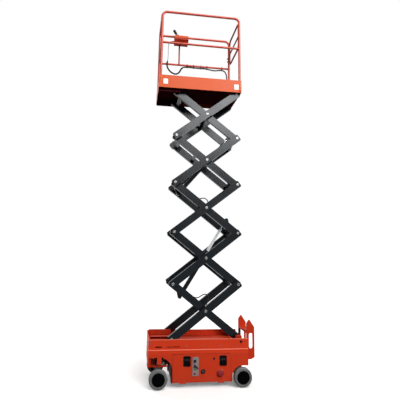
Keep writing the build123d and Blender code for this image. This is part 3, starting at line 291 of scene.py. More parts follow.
class Finish(Weave):
    """One material: a principled surface and the nodes that vary it."""

    def __init__(self, name, tone, roughness, metallic=0.0, gloss=0.5):
        self.material = bpy.data.materials.new(name)
        super().__init__(self.material)
        self.skin = self.tree.nodes.new("ShaderNodeBsdfPrincipled")
        self.end("OutputMaterial", Signal(self, self.skin.outputs[0]))
        self.tone = (*tone, 1.0)
        values = {"Base Color": self.tone, "Roughness": roughness, "Metallic": metallic,
                  "Specular IOR Level": gloss, "Coat Roughness": COAT_ROUGHNESS}
        for key, value in values.items():
            self.skin.inputs[key].default_value = value

    def shade(self, factor):
        """The finish's own colour, darker or lighter."""
        return (*[min(1.0, part * factor) for part in self.tone[:3]], 1.0)

    def bevel(self, radius):
        """Normal of edges that look rounded off."""
        return self.node("Bevel", {"samples": 4}, {"Radius": radius})

    def edges(self, soft):
        """How far the rounded normal leaves the flat one: 1 along a sharp edge."""
        flat = self.node("NewGeometry", {}, {}, "Normal")
        same = self.node("VectorMath", {"operation": "DOT_PRODUCT"}, {0: soft, 1: flat}, "Value")
        return self.window(1.0 - same, 0.02, 0.25)

    def relief(self, height, distance, normal=None, strength=1.0):
        """Bump from a height, over a normal if there is one."""
        inputs = {"Height": height, "Distance": distance, "Strength": strength}
        if normal is not None:
            inputs["Normal"] = normal
        return self.node("Bump", {}, inputs)

    def feed(self, **links):
        """Links signals to the surface: tone, roughness, coat or normal."""
        names = {"tone": "Base Color", "roughness": "Roughness", "coat": "Coat Weight", "normal": "Normal"}
        for key, signal in links.items():
            self.tree.links.new(signal.socket, self.skin.inputs[names[key]])
        return self.material


def tinted(tone, factor):
    """A colour made darker or lighter."""
    return [min(1.0, part * factor) for part in tone]


def gloss_paint(name, tone, roughness=0.3, gloss=0.45, edge=1.35, dirt=0.10, dirt_top=0.0, soft=0.0022,
                shade_box=None, shade_tone=None, folds=()):
    """Sprayed paint: mottled, lighter along its edges for wear and a painted highlight, dusty near the
    ground, with painted highlight lines at given heights and painted shade inside a given box.
    """
    paint = Finish(name, tone, roughness, gloss=gloss)
    rounded = paint.bevel(soft)
    cloud = paint.noise(2.6, 4.0)
    patch = paint.noise(38.0, 3.0)
    tone_now = paint.mix(cloud, paint.shade(0.90), paint.shade(1.10))
    # Lighter edges: partly wear, partly a painted highlight along rounded edges.
    wear_and_highlight = paint.edges(rounded) * paint.window(patch, 0.38, 0.62)
    tone_now = paint.mix(wear_and_highlight * 0.55, tone_now, paint.shade(edge))
    # Painted highlight: pale lines at the given heights, where folded sheet edges catch the light.
    for fold, spread in folds:
        fold_highlight = 1.0 - paint.window(abs(paint.axes()[2] - fold), spread * 0.5, spread * 1.2)
        tone_now = paint.mix(fold_highlight * 0.5, tone_now, (0.80, 0.30, 0.20, 1.0))
    if dirt_top > 0:
        height = paint.axes()[2]
        grime = (1.0 - paint.window(height, 0.05, dirt_top)) * paint.window(patch, 0.42, 0.75) * dirt
        tone_now = paint.mix(grime, tone_now, (0.16, 0.13, 0.11, 1.0))
    # Painted shade: inside the given box the paint takes a dark tone where shade falls.
    if shade_box:
        shade_colour = shade_tone or bpy.context.scene.lift_paints.underside_shade
        tone_now = paint.mix(paint.inside(*shade_box), tone_now, (*shade_colour, 1.0))
    rough = roughness + paint.window(cloud, 0.3, 0.7) * 0.08 + wear_and_highlight * 0.12
    peel = paint.noise(420.0, 1.0)
    return paint.feed(tone=tone_now, roughness=rough, normal=paint.relief(peel, 0.0002, rounded, 0.12))


def bare_metal(name, tone, roughness, grain=(1.0, 1.0, 1.0), scale=240.0):
    """Turned or brushed metal with fine scratches."""
    metal = Finish(name, tone, roughness, metallic=1.0)
    rounded = metal.bevel(0.001)
    scratch = metal.noise(scale, 2.0, grain)
    stain = metal.noise(14.0, 4.0)
    return metal.feed(tone=metal.mix(stain, metal.shade(0.78), metal.shade(1.12)),
                      roughness=roughness + scratch * 0.18,
                      normal=metal.relief(scratch, 0.0002, rounded, 0.4))


def moulded(name, tone, roughness=0.5, grain=900.0, depth=0.0002, gloss=0.4):
    """Moulded plastic or rubber with a fine grain and a painted highlight along its edges."""
    plastic = Finish(name, tone, roughness, gloss=gloss)
    rounded = plastic.bevel(0.0015)
    cloud = plastic.noise(11.0, 3.0)
    fine = plastic.noise(grain, 2.0)
    edge = plastic.edges(rounded)
    tone_now = plastic.mix(cloud, plastic.shade(0.85), plastic.shade(1.2))
    # Painted highlight: edges lightened to 2.2 times the tone.
    tone_now = plastic.mix(edge * 0.5, tone_now, plastic.shade(2.2))
    return plastic.feed(tone=tone_now, roughness=roughness + fine * 0.12,
                        normal=plastic.relief(fine, depth, rounded, 0.5))


def tyre_rubber(tyre, tone):
    """Grey rubber of one wheel: moulded rings on its wall, with a painted highlight on the lip and painted
    shade in the groove, scuffs and dust on its tread.
    """
    rubber = Finish(f"{tyre}_rubber", tone, 0.72, gloss=0.3)
    low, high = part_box(tyre)
    hub, radius = (low + high) / 2, high.z / 2
    x, _, z = rubber.axes()
    reach = ((x - hub.x) ** 2.0 + (z - hub.z) ** 2.0) ** 0.5
    lip = rubber.band(reach, radius - 0.012, radius - 0.009, radius - 0.003, radius)
    ring = rubber.band(reach, radius - 0.029, radius - 0.027, radius - 0.025, radius - 0.023)
    scuff = rubber.noise(55.0, 5.0)
    fine = rubber.noise(500.0, 2.0)
    dust = rubber.window(scuff, 0.48, 0.72)
    tone_now = rubber.mix(dust * 0.6, rubber.shade(0.82), rubber.shade(1.25))
    # Painted highlight: the raised lip is lighter.
    tone_now = rubber.mix(lip * 0.45, tone_now, rubber.shade(1.7))
    # Painted shade: the groove is darker.
    tone_now = rubber.mix(ring * 0.5, tone_now, rubber.shade(0.45))
    height = lip * 0.7 - ring * 0.8 + fine * 0.15
    return rubber.feed(tone=tone_now, roughness=0.62 + dust * 0.2,
                       normal=rubber.relief(height, 0.0015, rubber.bevel(0.003), 0.8))


def grip_floor(name, tone, pitch):
    """Painted floor sheet with raised lozenges that are paler on their tops where the paint rubs off, and
    painted shade on its underside.
    """
    sheet = Finish(name, tone, 0.42, gloss=0.0)
    x, y, z = sheet.axes()
    column, row = x * (1 / pitch), y * (1 / pitch)
    across, along = column % 1.0 - 0.5, row % 1.0 - 0.5
    odd = ((column - column % 1.0) + (row - row % 1.0)) % 2.0
    rise, fall = across + along, across - along
    even_lozenge = (rise * 0.95) ** 2.0 + (fall * 3.1) ** 2.0
    odd_lozenge = (rise * 3.1) ** 2.0 + (fall * 0.95) ** 2.0
    shape = even_lozenge * (1.0 - odd) + odd_lozenge * odd
    bump = 1.0 - sheet.window(shape, 0.14, 0.34)
    top = z > FLOOR_TOP - 0.001
    scuff = sheet.window(sheet.noise(24.0, 5.0), 0.45, 0.7)
    tone_now = sheet.mix(bump * scuff * 0.5, sheet.shade(0.85), (0.42, 0.28, 0.22, 1.0))
    tone_now = sheet.mix(scuff * 0.25, tone_now, (0.10, 0.05, 0.04, 1.0))
    # Painted shade: below its top face the sheet takes the dark underside tone.
    tone_now = sheet.mix(top, (*bpy.context.scene.lift_paints.underside_shade, 1.0), tone_now)
    return sheet.feed(tone=tone_now, roughness=0.4 + scuff * 0.2, coat=top * 0.3,
                      normal=sheet.relief(bump * top, 0.0015, None, 0.9))


def dotted(name, base, spots):
    """Brushed plate with round coloured parts that stand proud of it: centre (x, z), radius and colour."""
    piece = Finish(name, base, 0.42, gloss=0.4)
    x, y, z = piece.axes()
    brushed = piece.noise(900.0, 2.0, (0.03, 1.0, 1.0))
    tone_now = piece.mix(brushed, piece.shade(0.80), piece.shade(1.15))
    proud = y < DOOR_FACE - PLATE_RISE
    for (cx, cz), radius, shade in spots:
        reach = ((x - cx) ** 2.0 + (z - cz) ** 2.0) ** 0.5
        tone_now = piece.mix((reach < radius) * proud, tone_now, (*shade, 1.0))
    return piece.feed(tone=tone_now, roughness=0.34 + brushed * 0.2,
                      normal=piece.relief(brushed, 0.0001, piece.bevel(0.001), 0.3))


FINISHES = {}


def finish(name):
    """A finish by name, made once the paints are known."""
    if not FINISHES:
        mix_finishes(bpy.context.scene.lift_paints)
    return FINISHES[name]


def mix_finishes(paints):
    """Mixes every finish of the lift."""
    base_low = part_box("chassis_frame")[0]
    deck_low, deck_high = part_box("deck_skirts")
    sheet = 0.004
    box_low, box_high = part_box("control_box")
    made = {
        # Painted shade: inside the base behind the front arch the body paint turns to the dark underside
        # tone.
        "body": gloss_paint("body_paint", paints.body, 0.34, 0.12, edge=1.3, dirt=0.20, dirt_top=0.26,
                            shade_box=((base_low.x + sheet, -0.3195, 0.0), (-0.384, 0.3195, 0.36))),
        # Painted shade: inside the skirts, below the floor, the platform paint turns to the dark underside
        # tone.
        "deck": gloss_paint("deck_paint", paints.deck, 0.34, 0.06, edge=1.2,
                            shade_box=((deck_low.x + sheet, deck_low.y + sheet, deck_low.z - sheet),
                                    (deck_high.x - sheet, deck_high.y - sheet, FLOOR_TOP - 0.03))),
        "rails": gloss_paint("rail_paint", paints.rails, 0.34, 0.20, edge=1.3),
        # Painted shade: the gate is the body paint darkened to 0.40, as it stands in shade.
        "gate": gloss_paint("gate_shaded_paint", tinted(paints.body, 0.40), 0.34, 0.12, edge=1.3),
        # Painted highlight: the side rails are the body paint lightened by 1.14, with pale highlight lines
        # along their top edge and belt.
        "belt": gloss_paint("belt_lit_paint", tinted(paints.body, 1.14), 0.34, 0.12, edge=1.6, soft=0.003,
                            folds=((RAIL_TOP - 0.002, 0.006), (BELT_TOP + 0.003, 0.004))),
        # Painted shade: the ladder is the body paint darkened to 0.86.
        "ladder": gloss_paint("ladder_shaded_paint", tinted(paints.body, 0.86), 0.36, 0.06, edge=1.4),
        # Painted shade: the plates and tracks inside the base are the body paint darkened to 0.62.
        "inner": gloss_paint("inner_shaded_paint", tinted(paints.body, 0.62), 0.40, 0.05, edge=1.4),
        # Painted shade: the lower part of the control box takes a darker tone of the body paint.
        "box": gloss_paint("box_shaded_paint", tinted(paints.deck, 0.80), 0.34, 0.10, edge=1.4,
                           shade_box=(box_low, Vector((box_high.x, box_high.y, BOX_TOP - 0.062))),
                           shade_tone=tinted(paints.body, 0.55)),
        # Painted highlight: edge 3.0 turns the arms' edges into bright lines, beside their wear.
        "arms": gloss_paint("arm_paint", paints.arms, 0.23, 0.15, edge=3.0, soft=0.0016),
        # Painted shade: the platform frame takes the dark underside tone.
        "underside_shade": gloss_paint("underside_painted_shade", paints.underside_shade, 0.6, 0.0, edge=1.6),
        "machine": gloss_paint("machine_paint", (0.10, 0.105, 0.11), 0.45, 0.4, edge=2.0),
        "hub": gloss_paint("hub_paint", (0.0006, 0.0006, 0.0009), 0.8, 0.02, edge=2.5),
        "plastic": moulded("black_plastic", paints.plastic, 0.5, gloss=0.12),
        "latch": moulded("latch_plastic", tinted(paints.plastic, 0.4), 0.5, gloss=0.04),
        "grip": moulded("joystick_plastic", tinted(paints.plastic, 0.5), 0.5, gloss=0.06),
        "battery": moulded("battery_plastic", (0.02, 0.02, 0.023), 0.5),
        "chrome": bare_metal("rod_chrome", (0.62, 0.63, 0.65), 0.12, scale=60.0),
        "steel": bare_metal("pin_steel", paints.steel, 0.30),
        "track": bare_metal("track_steel", (0.20, 0.19, 0.18), 0.45),
        "sheath": moulded("cable_sheath", (0.090, 0.093, 0.100), 0.45, 700.0),
        "hose": moulded("hose_rubber", (0.004, 0.004, 0.005), 0.55, 700.0, gloss=0.2),
        "label": moulded("label_plate", paints.label, 0.40, 300.0, 0.0001),
        "go": moulded("green_button", paints.go, 0.3, 300.0),
        "halt": moulded("red_button", paints.halt, 0.35, 300.0),
        "olive": moulded("olive_rocker", (0.115, 0.105, 0.075), 0.5, 300.0),
        "floor": grip_floor("platform_floor", paints.deck, bpy.context.scene.lift_trim.grip_pitch),
    }
    made["strip"] = dotted("control_strip", paints.strip, control_spots(paints))
    FINISHES.update(made)


def control_spots(paints):
    """Round parts of the ground controls."""
    x, left, top = STRIP_X, STRIP_X - 0.006, STRIP_TOP
    black, red = tuple(paints.plastic), tuple(paints.halt)
    return [
        ((x - 0.007, top - DIAL_DROP), 0.0165, black),
        ((left, top - LEVER_DROP), 0.0175, black),
        ((x + 0.010, top - LEVER_DROP - 0.012), 0.020, black),
        ((x + 0.028, top - LEVER_DROP - 0.024), 0.017, black),
        ((left, top - RAISE_DROP), 0.0142, (0.45, 0.45, 0.44)),
        ((left, top - RAISE_DROP), 0.0112, tuple(paints.go)),
        ((left, top - LOWER_DROP), 0.0152, (0.30, 0.25, 0.25)),
        ((left, top - LOWER_DROP), 0.0122, red),
        (KEY_SWITCH, 0.029, black),
        (CHARGE_LAMP, 0.014, black),
        (STOP_BUTTON, 0.042, red),
    ]


# Mesh helpers
def upright(point, axis):
    """Matrix that stands a shape's own Z along an axis at a point."""
    turn = Vector(axis).to_track_quat("Z", "Y").to_matrix().to_4x4()
    return Matrix.Translation(Vector(point)) @ turn


def join(stock, part, matrix):
    """Adds one shape to a piece, set in place."""
    part.transform(matrix)
    scrap = bpy.data.meshes.new("scrap")
    part.to_mesh(scrap)
    part.free()
    stock.from_mesh(scrap)
    bpy.data.meshes.remove(scrap)


def stand(stock, part, point, axis):
    """Adds a shape that stands along an axis at a point."""
    join(stock, part, upright(point, axis))


def lay(stock, part, point):
    """Adds a shape, its middle at a point."""
    join(stock, part, Matrix.Translation(Vector(point)))


def spun(shape, lines, steps):
    """Spins lines once round Z and closes the seam."""
    bmesh.ops.spin(shape, geom=lines, cent=(0, 0, 0), axis=(0, 0, 1), dvec=(0, 0, 0), angle=math.tau,
                   steps=steps, use_merge=True)
    bmesh.ops.remove_doubles(shape, verts=shape.verts, dist=1e-6)
    bmesh.ops.recalc_face_normals(shape, faces=shape.faces)
    return shape


def soften(shape, edges, offset, segments=3):
    """Rounds edges off."""
    bmesh.ops.bevel(shape, geom=edges, offset=offset, segments=segments, profile=0.5, affect="EDGES",
                    material=-1)
    return shape


def turned(profile, steps=32):
    """A profile of (radius, height) spun round Z."""
    shape = bmesh.new()
    corners = [shape.verts.new((radius, 0.0, height)) for radius, height in profile]
    lines = [shape.edges.new(pair) for pair in zip(corners, corners[1:])]
    return spun(shape, corners + lines, steps)


def ring(major, minor, steps=28, sides=8):
    """A torus round Z."""
    shape = bmesh.new()
    circle = bmesh.ops.create_circle(shape, cap_ends=False, radius=minor, segments=sides)
    quarter = Matrix.Rotation(math.pi / 2, 3, "X")
    bmesh.ops.rotate(shape, verts=circle["verts"], cent=(0, 0, 0), matrix=quarter)
    bmesh.ops.translate(shape, verts=circle["verts"], vec=(major, 0, 0))
    return spun(shape, shape.verts[:] + shape.edges[:], steps)


def slab(size, edge):
    """A block with rounded edges, its middle at the origin."""
    shape = bmesh.new()
    cube = bmesh.ops.create_cube(shape, size=1.0)
    bmesh.ops.scale(shape, verts=cube["verts"], vec=size)
    return soften(shape, shape.edges[:], edge)


def hexagon(radius, height):
    """A bolt head with its corners taken off."""
    shape = bmesh.new()
    head = bmesh.ops.create_cone(shape, cap_ends=True, segments=6, radius1=radius, radius2=radius,
                                 depth=height)
    bmesh.ops.translate(shape, verts=head["verts"], vec=(0, 0, height / 2))
    rim = [edge for edge in shape.edges if all(vert.co.z > height * 0.9 for vert in edge.verts)]
    return soften(shape, rim, height * 0.25, 2)


def button(radius, height, edge):
    """A round boss with a soft rim, standing on Z 0."""
    return turned([(0.0, 0.0), (radius, 0.0), (radius, height - edge),
                   (radius - edge * 0.3, height - edge * 0.3), (radius - edge, height), (0.0, height)])


def put(name, data):
    """A new object in the scene."""
    made = bpy.data.objects.new(name, data)
    bpy.context.scene.collection.objects.link(made)
    return made


def show(name, stock, body, look):
    """Makes a piece of its mesh, gives it a finish and lets it ride on a body."""
    mesh = bpy.data.meshes.new(name)
    stock.to_mesh(mesh)
    stock.free()
    mesh.polygons.foreach_set("use_smooth", [True] * len(mesh.polygons))
    mesh.set_sharp_from_angle(angle=math.radians(32))
    mesh.materials.append(finish(look))
    piece = put(name, mesh)
    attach(piece, body)
    return piece


# Operators
class LIFT_OT_studio(bpy.types.Operator):
    """Set the floor, the lamps, the background and the camera"""
    bl_idname = "lift.studio"
    bl_label = "Studio"

    def execute(self, context):
        studio = context.scene.lift_studio
        self.floor()
        self.room(studio)
        self.lamps(studio)
        self.camera(studio)
        context.scene.view_settings.view_transform = "Standard"
        return {"FINISHED"}

    def floor(self):
        mesh = bmesh.new()
        bmesh.ops.create_grid(mesh, x_segments=1, y_segments=1, size=60.0)
        data = bpy.data.meshes.new("studio_floor")
        mesh.to_mesh(data)
        mesh.free()
        floor = put("studio_floor", data)
        material = bpy.data.materials.new("floor_paper")
        look = Weave(material)
        seen, mirrored = look.rays()
        x, y, _ = look.axes()
        far = look.window((x ** 2.0 + y ** 2.0) ** 0.5, 1.2, 3.2)
        near = 1.0 - far
        tone = look.mix(near * (seen + mirrored * 0.3), (0.05, 0.045, 0.045, 1.0), (0.95, 0.94, 0.93, 1.0))
        paper = look.node("BsdfDiffuse", {}, {"Color": tone})
        strength = (seen + mirrored) * far * 1.1 + near * (seen * 0.20 + mirrored * 0.08)
        glow = look.node("Emission", {}, {"Color": (1, 1, 1, 1), "Strength": strength})
        look.end("OutputMaterial", look.node("AddShader", {}, {0: paper, 1: glow}))
        data.materials.append(material)

    def room(self, studio):
        world = bpy.data.worlds.new("studio_room")
        bpy.context.scene.world = world
        look = Weave(world)
        warm = (1.0, 0.99, 0.97, 1.0)
        lit = look.node("Background", {}, {"Color": warm, "Strength": studio.room})
        white = look.node("Background", {}, {"Color": (1, 1, 1, 1), "Strength": 1.0})
        seen, mirrored = look.rays()
        both = look.node("MixShader", {}, {0: seen + mirrored, 1: lit, 2: white})
        look.end("OutputWorld", both)

    def lamps(self, studio):
        rows = (
            ("high_lamp", (5.0, -12.0, 9.8), (0.0, 0.0, 2.6), (12.0, 8.5), studio.sky, "visible_glossy"),
            ("top_lamp", (1.5, -1.0, 10.5), (0.0, 0.0, 0.0), (7.0, 7.0), studio.top, "visible_camera"),
            ("sheen_panel", (5.0, -12.0, 10.8), (0.0, 0.0, 3.6), (10.0, 7.4), studio.sheen,
             "visible_diffuse"),
            ("back_lamp", (-5.0, 12.0, 7.5), (0.0, 0.0, 2.6), (11.0, 8.0), studio.back, "visible_glossy"),
        )
        for name, place, aim, (wide, tall), power, unseen in rows:
            lamp = bpy.data.lights.new(name, "AREA")
            lamp.shape, lamp.size, lamp.size_y, lamp.energy = "RECTANGLE", wide, tall, power
            holder = put(name, lamp)
            holder.location = place
            holder.rotation_mode = "QUATERNION"
            holder.rotation_quaternion = (Vector(aim) - Vector(place)).to_track_quat("-Z", "Y")
            holder.visible_camera = False
            setattr(holder, unseen, False)

    def camera(self, studio):
        data = bpy.data.cameras.new("camera")
        data.lens, data.sensor_width = studio.lens, 36.0
        data.shift_x, data.shift_y = 0.01475, -0.0655
        data.clip_end = 200.0
        holder = put("camera", data)
        turn, tilt, roll = studio.turn, studio.tilt, studio.roll
        ahead = Vector((math.sin(turn) * math.cos(tilt), math.cos(turn) * math.cos(tilt), math.sin(tilt)))
        level = Vector((math.cos(turn), -math.sin(turn), 0.0))
        above = level.cross(ahead)
        right = level * math.cos(roll) + above * math.sin(roll)
        up = above * math.cos(roll) - level * math.sin(roll)
        facing = Matrix((right, up, -ahead)).transposed().to_4x4()
        holder.matrix_world = Matrix.Translation(Vector(studio.eye)) @ facing
        bpy.context.scene.camera = holder


class LIFT_OT_coats(bpy.types.Operator):
    """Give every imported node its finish"""
    bl_idname = "lift.coats"
    bl_label = "Coats of paint"

    def execute(self, context):
        stages = range(1, STAGES + 1)
        coats = {
            "body": ["chassis_frame", "arch_panels", "near_side_door", "far_side_door"],
            "belt": ["side_rails"],
            "ladder": ["ladder"],
            "inner": ["steering_plate", "spine_plates", "pivot_brackets", "base_tracks"],
            "box": ["control_box"],
            "deck": ["deck_skirts"],
            "rails": ["near_guard_rail", "far_guard_rail", "front_guard_rail"],
            "gate": ["entry_gate"],
            "arms": [f"{kind}_{n}" for kind in ("inner_arms", "outer_arms", "cross_members") for n in stages]
                    + ["lower_barrel", "upper_barrel"],
            "underside_shade": ["deck_frame"],
            "machine": ["near_knuckle", "far_knuckle", "rear_axle", "hydraulic_unit"],
            "hub": [f"{wheel}_hub" for wheel in WHEELS] + ["wheel_housings"],
            "latch": ["near_door_latches", "far_door_latches"],
            "grip": ["joystick"],
            "battery": ["battery_pack"],
            "chrome": ["lower_rod", "upper_rod"],
            "track": ["tie_rod"],
            "sheath": ["control_cable"],
            "hose": ["platform_harness", "lower_hose", "upper_hose"],
            "strip": ["ground_controls"],
            "floor": ["deck_floor"],
        }
        for look, nodes in coats.items():
            for node in nodes:
                self.coat(frame["nodes"][node], finish(look))
        for wheel in WHEELS:
            look = tyre_rubber(f"{wheel}_tyre", context.scene.lift_paints.tyre)
            self.coat(frame["nodes"][f"{wheel}_tyre"], look)
        return {"FINISHED"}

    def coat(self, node, material):
        node.data.materials.clear()
        node.data.materials.append(material)


CONTROL_LEAD = [(-0.447, 0.280, 4.970), (-0.492, 0.280, 4.970), (-0.515, 0.282, 4.930),
                (-0.521, 0.284, 4.855),
                (-0.518, 0.286, 4.765), (-0.520, 0.286, 4.675), (-0.530, 0.286, 4.600)]
HARNESS = [(-0.530, 0.286, 4.600), (-0.5372, 0.286, 4.546), (-0.510, 0.290, 4.480), (-0.452, 0.292, 4.425),
           (-0.385, 0.294, 4.408), (-0.333, 0.296, 4.442), (-0.300, 0.304, 4.525), (-0.250, 0.318, 4.558),
           (-0.165, 0.326, 4.563), (-0.030, 0.328, 4.559), (0.095, 0.328, 4.5635), (0.170, 0.328, 4.550),
           (0.240, 0.328, 4.540), (0.305, 0.328, 4.550), (0.362, 0.327, 4.561), (0.420, 0.324, 4.540),
           (0.448, 0.321, 4.472), (0.4525, 0.3205, 4.330), (0.454, 0.320, 4.190), (0.452, 0.320, 4.070),
           (0.452, 0.320, 3.9727)]
LOWER_HOSE = [(0.5441, 0.036), (0.5441, 0.086), (0.560, 0.142), (0.592, 0.178), (0.644, 0.172),
              (0.670, 0.118),
              (0.690, 0.062), (0.748, 0.040), (0.830, 0.010), (0.8832, 0.0), (0.9332, 0.0)]
UPPER_HOSE = [(0.5441, 0.036), (0.5441, 0.086), (0.572, 0.128), (0.624, 0.136), (0.664, 0.106),
              (0.696, 0.062),
              (0.770, 0.044), (0.846, 0.024), (0.904, 0.008), (0.9452, 0.0), (0.9952, 0.0)]
HOSE_Y = -0.090


def on_arm(stage, route):
    """Points along and square to a stage's inner arm, set in the frame."""
    start_z = spot("cross_1").z - RISE / 2 + (stage - 1) * RISE
    c, s = math.cos(LIFT_ANGLE), math.sin(LIFT_ANGLE)
    return [(PIVOT_X - along * c + square * s, HOSE_Y, start_z + along * s + square * c)
            for along, square in route]


def smooth_line(points, steps):
    """Points along the smooth curve that a cord's spline draws, short of its last stretch."""
    spots = [Vector(point) for point in points]
    joints = [spots[0]] + [(one + two) / 2 for one, two in zip(spots[1:], spots[2:])]
    line = []
    for start, bend, end in zip(joints, spots[1:], joints[1:]):
        for step in range(steps):
            share = step / steps
            line.append(start.lerp(bend, share).lerp(bend.lerp(end, share), share))
    return line


class LIFT_OT_cords(bpy.types.Operator):
    """Run the hoses, the control lead and the platform harness"""
    bl_idname = "lift.cords"
    bl_label = "Hoses and cables"

    def execute(self, context):
        plug = self.plug()
        self.cord("lead_cord", CONTROL_LEAD, 0.0045, 0.417, "platform", "sheath", "control_cable",
                  "connector",
                  [plug])
        self.cord("harness_cord", HARNESS, 0.010, 1.720, "platform", "hose", "platform_harness", "object",
                  [self.loom(HARNESS[:8])])
        for name, stage, route, size in (("lower", 1, LOWER_HOSE, 0.569), ("upper", 3, UPPER_HOSE, 0.555)):
            points = on_arm(stage, route)
            body = f"inner_{stage}"
            sleeves = self.sleeves(f"{name}_hose_sleeves", points, body, context.scene.lift_trim.sleeve)
            self.cord(f"{name}_hose_cord", points, 0.007, size, body, "hose", f"{name}_hose", "object",
                      [sleeves])
        return {"FINISHED"}

    def loom(self, points):
        """Corrugated loom over the hanging end of the harness."""
        sides, rib_length, bore, depth = 16, 0.0075, 0.0112, 0.0022
        centres = smooth_line(points, 40)
        stock = bmesh.new()
        gone, rows = 0.0, []
        for before, after in zip(centres, centres[1:]):
            gone += (after - before).length
            reach = bore + depth * (0.5 + 0.5 * math.cos(math.tau * gone / rib_length))
            place = upright(before, after - before)
            turns = [math.tau * step / sides for step in range(sides)]
            spots = [(math.cos(turn) * reach, math.sin(turn) * reach, 0.0) for turn in turns]
            rows.append([stock.verts.new(place @ Vector(where)) for where in spots])
        for lower, upper in zip(rows, rows[1:]):
            shift = min(range(sides), key=lambda turn: (upper[turn].co - lower[0].co).length)
            for side in range(sides):
                following = (side + 1) % sides
                stock.faces.new((lower[side], lower[following], upper[(following + shift) % sides],
                                 upper[(side + shift) % sides]))
        stock.faces.new(rows[0])
        stock.faces.new(rows[-1])
        bmesh.ops.recalc_face_normals(stock, faces=stock.faces)
        return show("harness_loom", stock, "platform", "hose")

    def cord(self, name, points, radius, size, body, look, node, far_end, extras):
        data = bpy.data.curves.new(name, "CURVE")
        data.dimensions, data.resolution_u = "3D", 10
        data.bevel_depth, data.bevel_resolution, data.use_fill_caps = radius, 4, True
        line = data.splines.new("NURBS")
        line.points.add(len(points) - 1)
        for point, place in zip(line.points, points):
            point.co = (*place, 1.0)
        line.order_u = 3
        line.use_endpoint_u = True
        data.materials.append(finish(look))
        piece = put(name, data)
        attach(piece, body)
        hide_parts(node)

    def sleeves(self, name, points, body, size):
        """Crimped sleeves at both ends of a hose."""
        stock = bmesh.new()
        profile = [(0.0, -0.002), (0.0105, -0.002), (0.0105, 0.004), (0.0092, 0.006), (0.0092, size * 0.35),
                   (0.0100, size * 0.42), (0.0092, size * 0.50), (0.0100, size * 0.58),
                   (0.0092, size * 0.66),
                   (0.0092, size - 0.002), (0.0076, size), (0.0, size)]
        for end, inner in ((points[0], points[1]), (points[-1], points[-2])):
            axis = Vector(inner) - Vector(end)
            stand(stock, turned(profile, 24), end, axis)
            stand(stock, hexagon(0.0125, 0.008), Vector(end) - axis.normalized() * 0.009, axis)
        return show(name, stock, body, "steel")

    def plug(self):
        """Connector where the thin lead joins the thick harness."""
        stock = bmesh.new()
        down = Vector(HARNESS[1]) - Vector(HARNESS[0])
        profile = [(0.0, -0.030), (0.0060, -0.030), (0.0085, -0.018), (0.0125, -0.012), (0.0125, -0.002),
                   (0.0138, 0.0), (0.0138, 0.006), (0.0125, 0.008), (0.0125, 0.016), (0.0108, 0.022),
                   (0.0, 0.022)]
        stand(stock, turned(profile, 24), HARNESS[0], down)
        return show("lead_connector", stock, "platform", "plastic")


class LIFT_OT_harness_ties(bpy.types.Operator):
    """Strap the harness to the far mid rail and post"""
    bl_idname = "lift.harness_ties"
    bl_label = "Harness ties"

    def execute(self, context):
        wide = context.scene.lift_trim.tie_width
        stock = bmesh.new()
        for x, drop in TIES:
            loop = ring(0.0215, 0.0018, 28, 6)
            bmesh.ops.scale(loop, verts=loop.verts[:], vec=(1.0, 1.62, wide / 0.0036))
            middle = (x, RAIL_Y, MID_RAIL - drop * 0.42)
            stand(stock, loop, middle, (1, 0, 0))
            lay(stock, slab((0.010, 0.006, wide), 0.001), (x, RAIL_Y - 0.0225, MID_RAIL - 0.008))
        show("harness_ties", stock, "platform", "plastic")
        clips = bmesh.new()
        for z in CLIP_HEIGHTS:
            stand(clips, ring(0.0195, 0.0030, 28, 8), (POST_REAR, RAIL_Y, z), (0, 0, 1))
            lay(clips, slab((0.022, 0.014, 0.016), 0.002), (POST_REAR - 0.022, RAIL_Y, z))
        show("post_clips", clips, "platform", "plastic")
        return {"FINISHED"}


class LIFT_OT_labels(bpy.types.Operator):
    """Rivet the blank plates to the near toe board"""
    bl_idname = "lift.labels"
    bl_label = "Blank plates"

    def execute(self, context):
        trim = context.scene.lift_trim
        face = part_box("deck_skirts")[0].y
        stock, rivets = bmesh.new(), bmesh.new()
        for x, z in PLATES:
            lay(stock, slab((trim.label_width, 0.0024, trim.label_height), 0.0007), (x, face - 0.0010, z))
            for sx in (-1, 1):
                for sz in (-1, 1):
                    corner = (x + sx * (trim.label_width / 2 - 0.006), face - 0.0020,
                              z + sz * (trim.label_height / 2 - 0.006))
                    stand(rivets, button(0.0025, 0.0012, 0.0008), corner, (0, -1, 0))
        show("blank_plates", stock, "platform", "label")
        show("plate_rivets", rivets, "platform", "steel")
        return {"FINISHED"}


class LIFT_OT_pin_caps(bpy.types.Operator):
    """Cap the heads of the scissor pins"""
    bl_idname = "lift.pin_caps"
    bl_label = "Pin caps"

    def execute(self, context):
        radius = context.scene.lift_trim.cap_radius
        for stage in range(1, STAGES + 1):
            stock = bmesh.new()
            low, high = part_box(f"outer_arms_{stage}")
            middle = spot(f"cross_{stage}")
            pins = (middle, Vector((SIDE_X, 0, middle.z - RISE / 2)),
                    Vector((PIVOT_X, 0, middle.z + RISE / 2)))
            for pin in pins:
                for face, out in ((low.y, -1), (high.y, 1)):
                    seat = (pin.x, face - out * 0.0003, pin.z)
                    profile = [(0.0, 0.0), (radius, 0.0), (radius, 0.0008), (radius - 0.002, 0.0022),
                               (radius * 0.62, 0.0024), (radius * 0.56, 0.0012), (radius * 0.46, 0.0012),
                               (radius * 0.40, 0.0024), (0.0035, 0.0026), (0.0035, 0.0040), (0.0, 0.0042)]
                    stand(stock, turned(profile, 30), seat, (0, out, 0))
            show(f"pin_caps_{stage}", stock, f"outer_{stage}", "steel")
        return {"FINISHED"}


